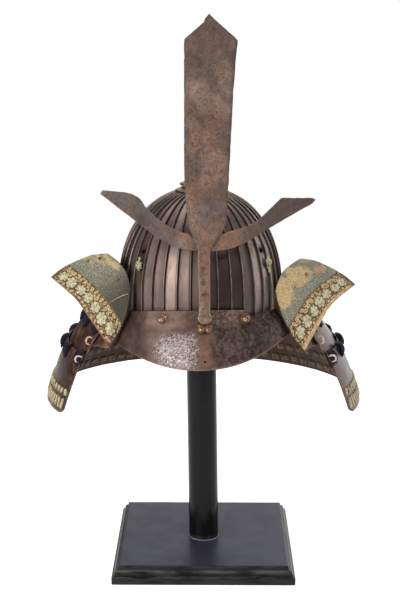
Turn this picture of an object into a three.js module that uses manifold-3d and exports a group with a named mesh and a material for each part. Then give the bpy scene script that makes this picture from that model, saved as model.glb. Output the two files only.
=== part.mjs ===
// A Japanese ribbed helmet (suji kabuto) on its plain black display stand.
// Millimetres, +Z up. The origin is the centre of the underside of the stand's square base,
// -Y is the front, towards which the visor points, and +X is the wearer's left.
import * as THREE from 'three';
import Module from 'manifold-3d';
import { mergeVertices } from 'three/addons/utils/BufferGeometryUtils.js';

const wasm = await Module();
wasm.setup();

const GAP = 0.3;                        // clearance kept between neighbouring pieces
const PLATE = 2;                        // thickness of the lacquered and iron plates

// Stand
const BASE_WIDTH = 240;
const BASE_TOP_WIDTH = 223.4;
const BASE_HEIGHT = 22.7;
const POST_RADIUS = 20;
const POST_FOOT_Y = -8;
const HEAD_RADIUS = 36;
const HEAD_HEIGHT = 19;

// Where the helmet sits on the stand
const HELMET_X = -5.2;
const BROW_HEIGHT = 370;                // height of the brow line, the helmet's own z = 0
const HELMET_YAW = 3.1;                 // degrees, the front turned towards +X
const GUARD_ROLL = 0.7;                 // degrees, the neck guard hangs askew

// Bowl: a superelliptic dome of plates, each with a standing rib along one edge
const BOWL_SIDE = 105.5;
const BOWL_FRONT = 113;
const BOWL_BACK = 119;
const BOWL_HEIGHT = 132;
const BOWL_SKIRT = 16;                  // upright wall below the brow line
const BOWL_POWER = 2.2;
const CROWN_HOLE = 16;
const RIBS = 40;
const RIB_HEIGHT = 3;
const RIB_WIDTH = 2;
const BOWL_ROWS = 7;

// Waist band under the bowl
const BAND_DEPTH = 15;
const BAND_STEP = 1.5;

// Visor
const VISOR_STANDOFF = 5.6;             // from the bowl's plates to the middle of the visor's flange
const VISOR_SPREAD = 55;                // degrees each side of the front
const VISOR_FLANGE_SPREAD = 30;
const VISOR_FLANGE = 20;
const VISOR_REACH = 152;
const VISOR_DROP = 70;
const VISOR_TIP_X = 111;
const RIVET_RADIUS = 6.5;

// Crest
const CREST_Y = -133;                   // front face of the blade
const BLADE_THICKNESS = 3;
const HORN_THICKNESS = 2.2;

// Neck guard: one flaring surface, from which the three lames are cut
const GUARD_TOP = -26;
const GUARD_DEPTH = 136;
const GUARD_TOP_SIDE = 112;
const GUARD_BOTTOM_SIDE = 208;
const GUARD_SHIFT = 9;                  // its lower edge hangs this far towards +X
const GUARD_TOP_LENGTH = 118;
const GUARD_BOTTOM_LENGTH = 187;
const GUARD_TOP_CENTRE = 3;
const GUARD_BOTTOM_CENTRE = 45;
const LAME_STEP = 4;                    // each lower lame laps this far outside the one above
const LAME_FRONT = 58;                  // degrees from the front to the ends of lames 2 and 3
const LAME_RAKE = 4;                    // degrees further back at the lowest corner
const LAME_COLUMNS = 36;
const LAME_SPANS = [[0, 0.474], [0.248, 0.707], [0.567, 1]];
const LACE_ANGLES = [61.5, 75, 90, 108, 127, 146, 166];
const LACE_WIDTH = 11;

// Turnbacks: the top lame's front ends, turned outwards
const TURNBACK_FOLD_END = 61;           // degrees, where the lame leaves its plain shape
const TURNBACK_SHIFT = 6;               // the folds' lower ends stand this far towards +X
const TURNBACK_LEAN = 0.023;            // rise per unit towards -X, besides the guard's own roll
const SEAM_AT = 0.6;                    // where the border meets the field, from the top edge
const LEATHER = 1;

const radians = THREE.MathUtils.degToRad;
const lerp = THREE.MathUtils.lerp;
const point = (x, y, z) => new THREE.Vector3(x, y, z);

const colours = {
  stand: 0x16171a, iron: 0x5c5250, darkIron: 0x463c39, rust: 0x5a4740, gilt: 0x8f6f37,
  copper: 0x8a5f43, lacquer: 0x3c2826, leather: 0x77786a, border: 0x9a9467, navy: 0x1b2038,
  cream: 0xb9ab7d,
};

function finish(colour, roughness, metalness) {
  return new THREE.MeshStandardMaterial({ color: colour, roughness, metalness });
}

const finishes = {
  stand: finish(colours.stand, 0.35, 0),
  iron: finish(colours.iron, 0.5, 0.8),
  darkIron: finish(colours.darkIron, 0.5, 0.8),
  rust: finish(colours.rust, 0.75, 0.5),
  gilt: finish(colours.gilt, 0.45, 0.9),
  copper: finish(colours.copper, 0.4, 0.9),
  lacquer: finish(colours.lacquer, 0.35, 0.1),
  leather: finish(colours.leather, 0.8, 0),
  border: finish(colours.border, 0.8, 0),
  navy: finish(colours.navy, 0.9, 0),
  cream: finish(colours.cream, 0.85, 0),
};

function named(name, geometry, material) {
  const mesh = new THREE.Mesh(geometry, material);
  mesh.name = name;
  return mesh;
}

// ---- closed meshes from grids of points -------------------------------------------------

/** Six times the signed volume that the triangles enclose: negative when they face inwards. */
function signedVolume(points, triangles) {
  let sum = 0;
  for (let k = 0; k < triangles.length; k += 3) {
    const [a, b, c] = [0, 1, 2].map((corner) => points[triangles[k + corner]]);
    sum += a.dot(b.clone().cross(c));
  }
  return sum;
}

function closedMesh(points, triangles) {
  const facing = signedVolume(points, triangles) > 0 ? triangles : triangles.slice().reverse();
  const geometry = new THREE.BufferGeometry();
  geometry.setAttribute('position',
    new THREE.Float32BufferAttribute(points.flatMap((p) => p.toArray()), 3));
  geometry.setIndex(facing);
  return geometry;
}

/** A solid wall between two grids of the same size, each a list of columns of points. */
function wall(outer, inner, closed) {
  const columns = outer.length;
  const rows = outer[0].length;
  const points = [...outer.flat(), ...inner.flat()];
  const at = (side, column, row) => side * columns * rows + (column % columns) * rows + row;
  const triangles = [];
  const quad = (a, b, c, d) => triangles.push(a, b, c, a, c, d);
  for (let i = 0; i < (closed ? columns : columns - 1); i += 1) {
    for (let j = 0; j < rows - 1; j += 1) {
      quad(at(0, i, j), at(0, i + 1, j), at(0, i + 1, j + 1), at(0, i, j + 1));
      quad(at(1, i, j), at(1, i, j + 1), at(1, i + 1, j + 1), at(1, i + 1, j));
    }
    quad(at(0, i, 0), at(1, i, 0), at(1, i + 1, 0), at(0, i + 1, 0));
    quad(at(0, i, rows - 1), at(0, i + 1, rows - 1), at(1, i + 1, rows - 1), at(1, i, rows - 1));
  }
  if (!closed) {
    for (let j = 0; j < rows - 1; j += 1) {
      quad(at(0, 0, j), at(0, 0, j + 1), at(1, 0, j + 1), at(1, 0, j));
      const last = columns - 1;
      quad(at(0, last, j), at(1, last, j), at(1, last, j + 1), at(0, last, j + 1));
    }
  }
  return closedMesh(points, triangles);
}

/** A solid inside a ring of columns, closed by a fan of triangles at each end. */
function plug(columns) {
  const rows = columns[0].length;
  const points = columns.flat();
  const ends = [0, rows - 1].map((row) => {
    const sum = columns.reduce((total, column) => total.add(column[row]), point(0, 0, 0));
    return points.push(sum.divideScalar(columns.length)) - 1;
  });
  const triangles = [];
  columns.forEach((_, i) => {
    const here = i * rows;
    const next = ((i + 1) % columns.length) * rows;
    for (let j = 0; j < rows - 1; j += 1) {
      triangles.push(here + j, next + j, next + j + 1, here + j, next + j + 1, here + j + 1);
    }
    triangles.push(ends[0], next, here, ends[1], here + rows - 1, next + rows - 1);
  });
  return closedMesh(points, triangles);
}

/** A grid of points, from a function of the column and the row. */
function grid(columns, rows, place) {
  return Array.from({ length: columns }, (_, i) => Array.from({ length: rows }, (_, j) => place(i, j)));
}

/** The grid moved along its own normals. */
function offset(columns, distance) {
  const last = columns.length - 1;
  const end = columns[0].length - 1;
  return columns.map((column, i) => column.map((p, j) => {
    const along = columns[Math.min(i + 1, last)][j].clone().sub(columns[Math.max(i - 1, 0)][j]);
    const down = column[Math.min(j + 1, end)].clone().sub(column[Math.max(j - 1, 0)]);
    return p.clone().addScaledVector(along.cross(down).normalize(), distance);
  }));
}

/** A sheet lying between two distances from a grid of points. */
function sheet(columns, low, high) {
  return wall(offset(columns, high), offset(columns, low), false);
}

// ---- booleans ---------------------------------------------------------------------------

function solidOf(geometry) {
  const bare = geometry.clone();
  bare.deleteAttribute('normal');
  bare.deleteAttribute('uv');
  const merged = mergeVertices(bare, 1e-4);
  return new wasm.Manifold(new wasm.Mesh({
    numProp: 3,
    vertProperties: new Float32Array(merged.attributes.position.array),
    triVerts: new Uint32Array(merged.index.array),
  }));
}

function cut(geometry, cutters) {
  const result = cutters.reduce((solid, cutter) => solid.subtract(solidOf(cutter)), solidOf(geometry));
  const { vertProperties, triVerts } = result.getMesh();
  const geometryOut = new THREE.BufferGeometry();
  geometryOut.setAttribute('position', new THREE.Float32BufferAttribute(vertProperties, 3));
  geometryOut.setIndex(Array.from(triVerts));
  return geometryOut;
}

/** A cylinder from one point along a direction. */
function drill(start, direction, radius, length) {
  const cylinder = new THREE.CylinderGeometry(radius, radius, length, 12);
  cylinder.translate(0, length / 2, 0);
  const turn = new THREE.Quaternion().setFromUnitVectors(point(0, 1, 0), direction.clone().normalize());
  cylinder.applyQuaternion(turn);
  cylinder.translate(start.x, start.y, start.z);
  return cylinder;
}

/** A round solid turned about its own +Y from [radius, height] pairs that start and end on the axis. */
function turned(profile, segments) {
  return new THREE.LatheGeometry(profile.map(([r, h]) => new THREE.Vector2(r, h)), segments);
}

/** Places a mesh with its own +Y along the given direction. */
function stand(mesh, position, direction) {
  mesh.position.copy(position);
  mesh.quaternion.setFromUnitVectors(point(0, 1, 0), direction.clone().normalize());
  return mesh;
}

// ---- stand ------------------------------------------------------------------------------

function standBase() {
  const edge = BASE_WIDTH / 2;
  const top = BASE_TOP_WIDTH / 2;
  const profile = [[0, 0], [edge, 0], [edge, 10], [edge - 3, 12.5], [edge - 3.8, 15],
    [edge - 6.5, 17.5], [top, 18.5], [top, BASE_HEIGHT - 0.8], [top - 0.8, BASE_HEIGHT], [0, BASE_HEIGHT]];
  const corner = Math.SQRT2;
  const base = turned(profile.map(([r, h]) => [r * corner, h]), 4);
  base.rotateY(Math.PI / 4);
  base.rotateX(Math.PI / 2);
  return named('stand_base', base, finishes.stand);
}

const headTop = BROW_HEIGHT + innerHeight(HEAD_RADIUS) - 2 * GAP;
const postTop = headTop - HEAD_HEIGHT - 2 * GAP;

/** The post leans slightly, from near the middle of the base to the helmet's axis. */
function standPost() {
  const bottom = BASE_HEIGHT + 2 * GAP;
  const lean = point(HELMET_X, -POST_FOOT_Y, BROW_HEIGHT).normalize();
  const profile = [[0, bottom], [POST_RADIUS, bottom], [POST_RADIUS, postTop], [0, postTop]];
  const post = turned(profile, 32);
  post.rotateX(Math.PI / 2);
  post.applyQuaternion(new THREE.Quaternion().setFromUnitVectors(point(0, 0, 1), lean));
  post.translate(0, POST_FOOT_Y, 0);
  return named('stand_post', post, finishes.stand);
}

function standHead() {
  const bottom = headTop - HEAD_HEIGHT;
  const profile = [[0, bottom], [HEAD_RADIUS - 3, bottom], [HEAD_RADIUS, bottom + 3],
    [HEAD_RADIUS, headTop], [0, headTop + 4]];
  const head = turned(profile, 24);
  head.rotateX(Math.PI / 2);
  head.translate(HELMET_X, 0, 0);
  return named('stand_head', head, finishes.stand);
}

// ---- bowl -------------------------------------------------------------------------------

/** Height of the bowl's inner wall at a distance from its axis, on the narrower side. */
function innerHeight(radius) {
  const across = radius / (BOWL_SIDE - PLATE);
  const rise = (1 - across ** BOWL_POWER) ** (1 / BOWL_POWER);
  return rise * (BOWL_HEIGHT - PLATE);
}

/** A point on the dome: angle from the front, and climb from 0 at the brow to 1 at the apex. */
function domePoint(angle, climb, out) {
  const lift = radians(90 * climb);
  const across = Math.cos(lift) ** (2 / BOWL_POWER);
  const rise = Math.sin(lift) ** (2 / BOWL_POWER);
  const length = Math.cos(angle) > 0 ? BOWL_FRONT : BOWL_BACK;
  return point((BOWL_SIDE + out) * across * Math.sin(angle),
    -(length + out) * across * Math.cos(angle), (BOWL_HEIGHT + out) * rise);
}

/** The ribs stand at nearly equal steps around the oval brow. */
function ribAngle(index) {
  const even = 2 * Math.PI * index / RIBS;
  return even + radians(1.4) * Math.sin(2 * even);
}

const crownClimb = Math.acos((CROWN_HOLE / BOWL_SIDE) ** (BOWL_POWER / 2)) / (Math.PI / 2);

/** One column of the bowl, from the crown's hole down to the rim. */
function bowlColumn(angle, out) {
  const column = [];
  for (let row = 0; row < BOWL_ROWS; row += 1) {
    column.push(domePoint(angle, crownClimb * (1 - row / (BOWL_ROWS - 1)), out));
  }
  const brow = column[BOWL_ROWS - 1];
  column.push(point(brow.x, brow.y, -BOWL_SKIRT));
  return column;
}

/** The dome's outside with its ribs, as a solid that is closed above and below. */
function ribbedDome() {
  const half = RIB_WIDTH / 2 / BOWL_FRONT;
  const section = [[-half, 0], [-half * 0.7, RIB_HEIGHT], [half * 0.7, RIB_HEIGHT], [half, 0]];
  const columns = [];
  for (let rib = 0; rib < RIBS; rib += 1) {
    section.forEach(([step, out]) => columns.push(bowlColumn(ribAngle(rib) + step, out)));
  }
  return plug(columns);
}

/** The head's hollow with the vent above it, running past the bowl at both ends. */
function bowlHollow() {
  const past = 10;
  return plug(Array.from({ length: RIBS }, (_, rib) => {
    const column = bowlColumn(ribAngle(rib), -PLATE);
    column[0].z += past;
    column[BOWL_ROWS].z -= past;
    return [column[0], point(column[0].x, column[0].y, column[0].z - past), ...column.slice(1)];
  }));
}

// Two holes high on the front plates, and the leather-wrapped knob below each
const holeClimb = 0.302;
const holeAngle = radians(51.5);
const knobClimb = 0.228;
const knobAngle = radians(54);
const KNOB_RADIUS = 3.8;

function outwards(angle, climb) {
  return domePoint(angle, climb, 1).sub(domePoint(angle, climb, 0)).normalize();
}

function bowl() {
  const cutters = [-1, 1].flatMap((side) => {
    const hole = domePoint(side * holeAngle, holeClimb, -10);
    const seat = domePoint(side * knobAngle, knobClimb, GAP);
    return [drill(hole, outwards(side * holeAngle, holeClimb), 3, 30),
      drill(seat, outwards(side * knobAngle, knobClimb), KNOB_RADIUS + 0.6, 12)];
  });
  return named('bowl', cut(ribbedDome(), [bowlHollow(), ...cutters]), finishes.iron);
}

function bowlKnob(side, name) {
  const profile = [[0, 0], [KNOB_RADIUS, 0], [KNOB_RADIUS, 4], [KNOB_RADIUS - 1.2, 6.5], [0, 7.2]];
  const knob = named(name, turned(profile, 12), finishes.cream);
  return stand(knob, domePoint(side * knobAngle, knobClimb, 2 * GAP), outwards(side * knobAngle, knobClimb));
}

/** The plain band that carries the visor and the neck guard. */
function waistBand() {
  const ring = (out) => grid(RIBS, 2, (i, j) => {
    const brow = domePoint(ribAngle(i), 0, out);
    return point(brow.x, brow.y, -BOWL_SKIRT - GAP - j * BAND_DEPTH);
  });
  return named('waist_band', wall(ring(BAND_STEP), ring(BAND_STEP - PLATE), true), finishes.darkIron);
}

// ---- crown ------------------------------------------------------------------------------

/** Scalloped gilt rosette that follows the dome over the ends of the ribs. */
function crownRosette() {
  const inside = CROWN_HOLE + 1;
  const petals = 16;
  const columns = petals * 2;
  const over = RIB_HEIGHT + 2 * GAP;
  const surface = (height) => grid(columns, 3, (i, j) => {
    const angle = 2 * Math.PI * i / columns;
    const scallop = j === 2 ? 2.4 * (i % 2) : 0;
    const radius = lerp(inside, 35, j / 2) + scallop;
    const x = radius * Math.sin(angle);
    const y = radius * Math.cos(angle);
    const across = Math.hypot(x / BOWL_SIDE, y / (y > 0 ? BOWL_BACK : BOWL_FRONT));
    const rise = (1 - across ** BOWL_POWER) ** (1 / BOWL_POWER);
    return point(x, y, (BOWL_HEIGHT + over) * rise + height);
  });
  return named('crown_rosette', wall(surface(2), surface(0), true), finishes.gilt);
}

/** Stepped tube around the vent at the top. */
function crownCollar() {
  const foot = BOWL_HEIGHT + RIB_HEIGHT + 2 + 3 * GAP;
  const profile = [[14, 0], [25, 0], [27, 1.6], [25, 3.6], [21, 4.4], [19, 6.4], [20.5, 8],
    [19, 9.6], [16.5, 10.4], [16.5, 13.5], [18, 15], [16.5, 16.4], [14, 16.4], [14, 0]];
  const collar = turned(profile.map(([r, h]) => [r, h + foot]), 20);
  collar.rotateX(Math.PI / 2);
  return named('crown_collar', collar, finishes.copper);
}

// ---- visor ------------------------------------------------------------------------------

const visorSide = BOWL_SIDE + VISOR_STANDOFF;
const visorFront = BOWL_FRONT + VISOR_STANDOFF;

/** Height of the flange's top edge: a plane that rises towards the front. */
function flangeTop(y) {
  return -2 - 0.23 * (visorFront + y);
}

function visorEdge(degrees) {
  const x = VISOR_TIP_X * Math.sin(radians(degrees)) / Math.sin(radians(VISOR_SPREAD));
  const share = Math.abs(x) / VISOR_TIP_X;
  return point(x, -VISOR_REACH + 79 * share ** 2.1, -VISOR_DROP + 21 * share ** 2.2 + 0.045 * x);
}

/**
 * One column of the visor, from its top edge over the bend to its lower edge. On the wearer's
 * left the flange steps down beside the rivet; on the right it runs on, and only grows narrower.
 */
function visorColumn(degrees) {
  const past = Math.max(0, Math.abs(degrees) - VISOR_FLANGE_SPREAD + 3);
  const wing = degrees > 0 ? Math.min(1, past / 3) : 0;
  const narrow = degrees > 0 ? 0 : 14 * past / (VISOR_SPREAD - VISOR_FLANGE_SPREAD + 3);
  const flare = Math.max(0, Math.abs(degrees) - VISOR_FLANGE_SPREAD) / (VISOR_SPREAD - VISOR_FLANGE_SPREAD);
  const standoff = 3 * Math.min(1, flare * 3);
  const x = (visorSide + standoff) * Math.sin(radians(degrees));
  const y = -(visorFront + standoff) * Math.cos(radians(degrees));
  const rounded = 1 - Math.sqrt(1 - wing ** 2);
  const top = lerp(flangeTop(y), -16 + 4.5 * flare, rounded);
  const bend = point(x, y, lerp(flangeTop(y) - VISOR_FLANGE + narrow, top - 4, rounded));
  const edge = visorEdge(degrees);
  const bulge = (share) => bend.clone().lerp(edge, share)
    .add(point(0.4 * Math.sin(radians(degrees)), -0.8, 0.6).multiplyScalar(16 * share * (1 - share)));
  return [point(x, y, top), bend, bulge(0.3), bulge(0.65), edge];
}

// Columns stand closer together at the rounded corner of the flange.
const visorHalf = [0, 6, 12, 18, 23, 27, 28.5, 29.4, 29.9, 30.6, 35, 40, 45, 50, VISOR_SPREAD];
const visorAngles = [-55, -50, -45, -40, -35, -30, -24, -18, -12, -6, ...visorHalf];

function visor() {
  const body = sheet(visorAngles.map(visorColumn), -PLATE / 2, PLATE / 2);
  const hole = drill(point(-0.7, -VISOR_REACH - 8, -60), point(0, 1, 0), 1.5, 20);
  return named('visor', cut(body, [hole]), finishes.darkIron);
}

function visorRivet(side, name) {
  const profile = [[0, 0], [RIVET_RADIUS, 0], [RIVET_RADIUS, 1.2], [RIVET_RADIUS - 1, 3],
    [RIVET_RADIUS - 3, 4.4], [0, 5]];
  const angle = side * radians(27.4);
  const out = point(Math.sin(angle) / visorSide, -Math.cos(angle) / visorFront, 0).normalize();
  const seat = point(visorSide * Math.sin(angle), -visorFront * Math.cos(angle), -15)
    .addScaledVector(out, PLATE / 2 + 3 * GAP);
  return stand(named(name, turned(profile, 20), finishes.copper), seat, out);
}

// ---- crest ------------------------------------------------------------------------------

/** A flat plate in the XZ plane, its front face at the given y. */
function uprightPlate(shape, thickness, front) {
  const plate = new THREE.ExtrudeGeometry(shape, { depth: thickness, bevelEnabled: false, curveSegments: 6 });
  plate.rotateX(Math.PI / 2);
  plate.translate(0, front + thickness, 0);
  return plate;
}

function roundHole(x, z, radius) {
  const corners = Array.from({ length: 10 }, (_, i) => {
    const turn = 2 * Math.PI * i / 10;
    return new THREE.Vector2(x + radius * Math.cos(turn), z + radius * Math.sin(turn));
  });
  return new THREE.Path().setFromPoints(corners);
}

/** Tall chipped blade that leans a little to +X, with its tang and the tang's rounded end. */
function crestBlade() {
  const outline = new THREE.Shape();
  outline.moveTo(-24.9, 328.1);
  outline.lineTo(-1.7, 347.8);
  outline.lineTo(-1, 351.5);
  outline.quadraticCurveTo(6.5, 363, 10.2, 351.5);
  outline.lineTo(34, 331.2);
  outline.lineTo(38.4, 326.3);
  outline.lineTo(36.5, 309.1);
  outline.lineTo(33, 261.4);
  outline.lineTo(29.7, 188);
  outline.lineTo(26.3, 113.7);
  outline.quadraticCurveTo(23.5, 103, 20, 97);
  outline.lineTo(6, 76.4);
  outline.lineTo(6.4, -4);
  outline.lineTo(8.4, -7);
  outline.quadraticCurveTo(8.2, -16, -0.3, -16);
  outline.quadraticCurveTo(-9, -16, -9, -7);
  outline.lineTo(-7.2, -4);
  outline.lineTo(-8.9, 76.5);
  outline.lineTo(-16.5, 97);
  outline.quadraticCurveTo(-20, 106, -20.9, 114);
  outline.lineTo(-24.3, 140.2);
  outline.lineTo(-25.3, 187.1);
  for (const [x, z] of [[-2.6, 53.9], [-2, 35.4], [-1.1, 21.5]]) {
    outline.holes.push(roundHole(x, z, 1.3));
  }
  return named('crest_blade', uprightPlate(outline, BLADE_THICKNESS, CREST_Y), finishes.rust);
}

/** The pair of horns, one plate behind the blade. */
function crestHorns() {
  const outline = new THREE.Shape();
  outline.moveTo(8.9, 74.5);
  outline.lineTo(27.7, 77.1);
  outline.quadraticCurveTo(40, 79.5, 51.9, 86.3);
  outline.lineTo(98.2, 114.3);
  outline.lineTo(129.6, 132);
  outline.quadraticCurveTo(136, 138, 130, 139.4);
  outline.lineTo(92.2, 139.7);
  outline.lineTo(70, 117.4);
  outline.quadraticCurveTo(58, 107, 46.2, 103.4);
  outline.lineTo(27, 98);
  outline.lineTo(17, 92);
  outline.lineTo(-12, 90);
  outline.lineTo(-19, 95.6);
  outline.quadraticCurveTo(-36, 99, -55.9, 113.6);
  outline.lineTo(-72.4, 130.6);
  outline.quadraticCurveTo(-79, 145, -94.4, 147.4);
  outline.lineTo(-123.7, 150.3);
  outline.lineTo(-125.9, 145.7);
  outline.lineTo(-111, 133.7);
  outline.lineTo(-65.4, 97.8);
  outline.quadraticCurveTo(-46, 82.5, -28.4, 77.6);
  outline.lineTo(-11.6, 75.6);
  const front = CREST_Y + BLADE_THICKNESS + GAP;
  return named('crest_horns', uprightPlate(outline, HORN_THICKNESS, front), finishes.rust);
}

/** The block with two lobes on the visor that holds the end of the tang. */
function crestSocket() {
  const outline = new THREE.Shape();
  outline.moveTo(-8.5, -16.6);
  outline.lineTo(-8.5, -23.5);
  outline.absarc(-4.4, -23.5, 4.1, Math.PI, 2 * Math.PI, false);
  outline.absarc(4.4, -23.5, 4.1, Math.PI, 2 * Math.PI, false);
  outline.lineTo(8.5, -16.6);
  const block = uprightPlate(outline, -visorFront - CREST_Y, CREST_Y + 0.5);
  const behind = sheet(visorAngles.map(visorColumn), -PLATE / 2 - GAP, 8);
  return named('crest_socket', cut(block, [behind]), finishes.iron);
}

// ---- neck guard -------------------------------------------------------------------------

/** A point on the flaring surface: angle from the front, and slide from 0 at its top to 1. */
function guardPoint(angle, slide) {
  const flare = slide ** 0.714;
  const side = lerp(GUARD_TOP_SIDE, GUARD_BOTTOM_SIDE, flare);
  const length = lerp(GUARD_TOP_LENGTH, GUARD_BOTTOM_LENGTH, flare);
  const centre = lerp(GUARD_TOP_CENTRE, GUARD_BOTTOM_CENTRE, flare);
  return point(GUARD_SHIFT * flare + side * Math.sin(angle), centre - length * Math.cos(angle),
    GUARD_TOP - GUARD_DEPTH * slide ** 1.7);
}

/** The same point moved outwards along the surface's normal. */
function guardOffset(angle, slide, out) {
  const step = 1e-3;
  const low = Math.max(slide - step, 1e-4);
  const along = guardPoint(angle + step, slide).sub(guardPoint(angle - step, slide));
  const down = guardPoint(angle, slide + step).sub(guardPoint(angle, low));
  return guardPoint(angle, slide).addScaledVector(down.cross(along).normalize(), out);
}

/** Lames 2 and 3: plain curved plates, their lower front corners rounded. */
function lame(index, name) {
  const [top, bottom] = LAME_SPANS[index];
  const rows = 4;
  const side = (out) => grid(LAME_COLUMNS + 3, rows, (i, j) => {
    const edge = Math.min(i, LAME_COLUMNS + 2 - i);
    const share = edge === 0 ? 0 : edge === 1 ? 0.012 : (edge - 1) / LAME_COLUMNS;
    const cornerLift = edge === 0 ? 0.045 : edge === 1 ? 0.012 : 0;
    const slide = lerp(top, bottom - cornerLift, j / (rows - 1));
    const start = radians(LAME_FRONT + LAME_RAKE * slide ** 2);
    const angle = start + (2 * Math.PI - 2 * start) * (i === edge ? share : 1 - share);
    return guardOffset(angle, slide, index * LAME_STEP + out);
  });
  return named(name, wall(side(PLATE / 2), side(-PLATE / 2), false), finishes.lacquer);
}

// The turnback's upper and lower edges run from the fold outwards; each has four points.
const turnbackUpper = new THREE.CatmullRomCurve3([point(92.3, -72, 15.5), point(98, -66, 33),
  point(108.5, -56, 43.5), point(133, -35, 56)]);
const turnbackLower = new THREE.CatmullRomCurve3([point(125, -84, -61), point(146.5, -72, -29.5),
  point(166, -45, -8.8), point(206, -5, 15)]);

/** A point on a turnback: reach 0 at the fold to 1 outside, fall 0 at its upper edge to 1. */
function turnbackPoint(side, reach, fall) {
  const corner = Math.max(0, 1 - fall / 0.25);
  const trimmed = reach * (0.96 + 0.16 * fall * (1 - fall) - 0.07 * corner ** 2);
  const above = turnbackUpper.getPoint(trimmed);
  const below = turnbackLower.getPoint(trimmed);
  const spread = side > 0 ? 1.02 : 0.975;
  const bow = 4 * fall * (1 - fall) * Math.max(0, 1 - reach * 1.3);
  const p = above.lerp(below, fall).addScaledVector(point(-7, -4, -1), bow);
  const x = side * p.x * lerp(1, spread, reach) + TURNBACK_SHIFT * fall * (1 - reach) ** 2;
  return point(x, p.y, p.z - TURNBACK_LEAN * x);
}

const TURNBACK_COLUMNS = 8;
const LAME_ROWS = 6;

/** One column of the top lame: plain at the sides and back, blending to the folds in front. */
function topLameColumn(angle) {
  const [top, bottom] = LAME_SPANS[0];
  const degrees = THREE.MathUtils.radToDeg(angle);
  const fromFront = Math.min(degrees, 360 - degrees);
  const side = degrees < 180 ? 1 : -1;
  const share = THREE.MathUtils.smoothstep(fromFront, LAME_FRONT - 10, TURNBACK_FOLD_END);
  return grid(1, LAME_ROWS, (_, j) => {
    const fall = j / (LAME_ROWS - 1);
    return turnbackPoint(side, 0, fall).lerp(guardPoint(angle, lerp(top, bottom, fall)), share);
  })[0];
}

function turnbackColumns(side) {
  return grid(TURNBACK_COLUMNS, LAME_ROWS,
    (i, j) => turnbackPoint(side, (i + 1) / TURNBACK_COLUMNS, j / (LAME_ROWS - 1)));
}

function topLame() {
  const start = radians(LAME_FRONT - 10);
  const sweep = 2 * Math.PI - 2 * start;
  const angles = Array.from({ length: LAME_COLUMNS + 1 }, (_, i) => start + sweep * i / LAME_COLUMNS);
  const columns = [...turnbackColumns(1).reverse(), ...angles.map(topLameColumn), ...turnbackColumns(-1)];
  return named('neck_lame_1', sheet(columns, -PLATE / 2, PLATE / 2), finishes.lacquer);
}

/** The same point on the flat facets between the lame's rows and columns. */
function turnbackFacet(side, reach, fall) {
  const column = Math.min(Math.floor(reach * TURNBACK_COLUMNS), TURNBACK_COLUMNS - 1);
  const row = Math.min(Math.floor(fall * (LAME_ROWS - 1)), LAME_ROWS - 2);
  const corner = (i, j) => turnbackPoint(side, (column + i) / TURNBACK_COLUMNS, (row + j) / (LAME_ROWS - 1));
  const along = reach * TURNBACK_COLUMNS - column;
  const down = fall * (LAME_ROWS - 1) - row;
  return corner(0, 0).lerp(corner(1, 0), along).lerp(corner(0, 1).lerp(corner(1, 1), along), down);
}

/** A leather facing on the front of a turnback, its inner rows and columns over the lame's own. */
function turnbackFacing(side, falls, name, material) {
  const columns = grid(TURNBACK_COLUMNS + 1, falls.length, (i, j) => turnbackFacet(side,
    THREE.MathUtils.clamp(i / TURNBACK_COLUMNS, 0.05, 0.985), falls[j]));
  const near = PLATE / 2 + 2 * GAP;
  return named(name, sheet(columns, -side * near, -side * (near + LEATHER)), material);
}

/** A small domed stud on a turnback's leather. */
function turnbackStud(side, reach, fall, name) {
  const at = turnbackPoint(side, reach, fall);
  const along = turnbackPoint(side, reach + 0.02, fall).sub(at);
  const down = turnbackPoint(side, reach, fall + 0.02).sub(at);
  const out = along.cross(down).normalize().multiplyScalar(-side);
  const profile = [[0, 0], [3, 0], [3, 0.8], [2, 2], [0, 2.6]];
  const seat = at.addScaledVector(out, PLATE / 2 + LEATHER + 4 * GAP);
  return stand(named(name, turned(profile, 8), finishes.gilt), seat, out);
}

/** A pair of lacing cords: out of the upper lame, over the lower one's top edge and down it. */
function lace(index, angle, name) {
  const [top, bottom] = LAME_SPANS[index];
  const profileLength = guardPoint(angle, top).distanceTo(guardPoint(angle, bottom));
  const half = LACE_WIDTH / 2 / guardPoint(angle, top).distanceTo(point(0, GUARD_TOP_CENTRE, GUARD_TOP));
  const path = [[-6, -1.4, 1.6], [-1.2, 1.6, 5.4], [5, 1.4, 7], [13, 1.4, 6.4], [21, 1.4, 2.6]];
  const layer = (part) => grid(2, path.length, (i, j) => guardOffset(angle + (2 * i - 1) * half,
    top + (bottom - top) * path[j][0] / profileLength, index * LAME_STEP + path[j][part]));
  return named(name, wall(layer(2), layer(1), false), finishes.navy);
}

function neckGuard() {
  const guard = new THREE.Group();
  guard.rotation.y = radians(GUARD_ROLL);
  guard.add(topLame(), lame(1, 'neck_lame_2'), lame(2, 'neck_lame_3'));
  for (const [side, hand] of [[1, 'left'], [-1, 'right']]) {
    const field = [0.02, 0.2, 0.4, SEAM_AT - 0.005];
    const border = [SEAM_AT + 0.005, 0.8, 0.98];
    guard.add(turnbackFacing(side, field, `turnback_leather_${hand}`, finishes.leather));
    guard.add(turnbackFacing(side, border, `turnback_border_${hand}`, finishes.border));
    LACE_ANGLES.forEach((degrees, place) => {
      for (const index of [1, 2]) {
        const name = `lace_${index === 1 ? 'upper' : 'lower'}_${hand}_${place + 1}`;
        guard.add(lace(index, side > 0 ? radians(degrees) : radians(360 - degrees), name));
      }
    });
  }
  const studs = [[1, 0.45, 0.3], [1, 0.75, 0.3], [1, 0.95, 0.64], [-1, 0.45, 0.2], [-1, 0.9, 0.12], [-1, 0.93, 0.3]];
  studs.forEach(([side, reach, fall], place) => {
    guard.add(turnbackStud(side, reach, fall, `turnback_stud_${place + 1}`));
  });
  return guard;
}

// ---- assembly ---------------------------------------------------------------------------

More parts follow.
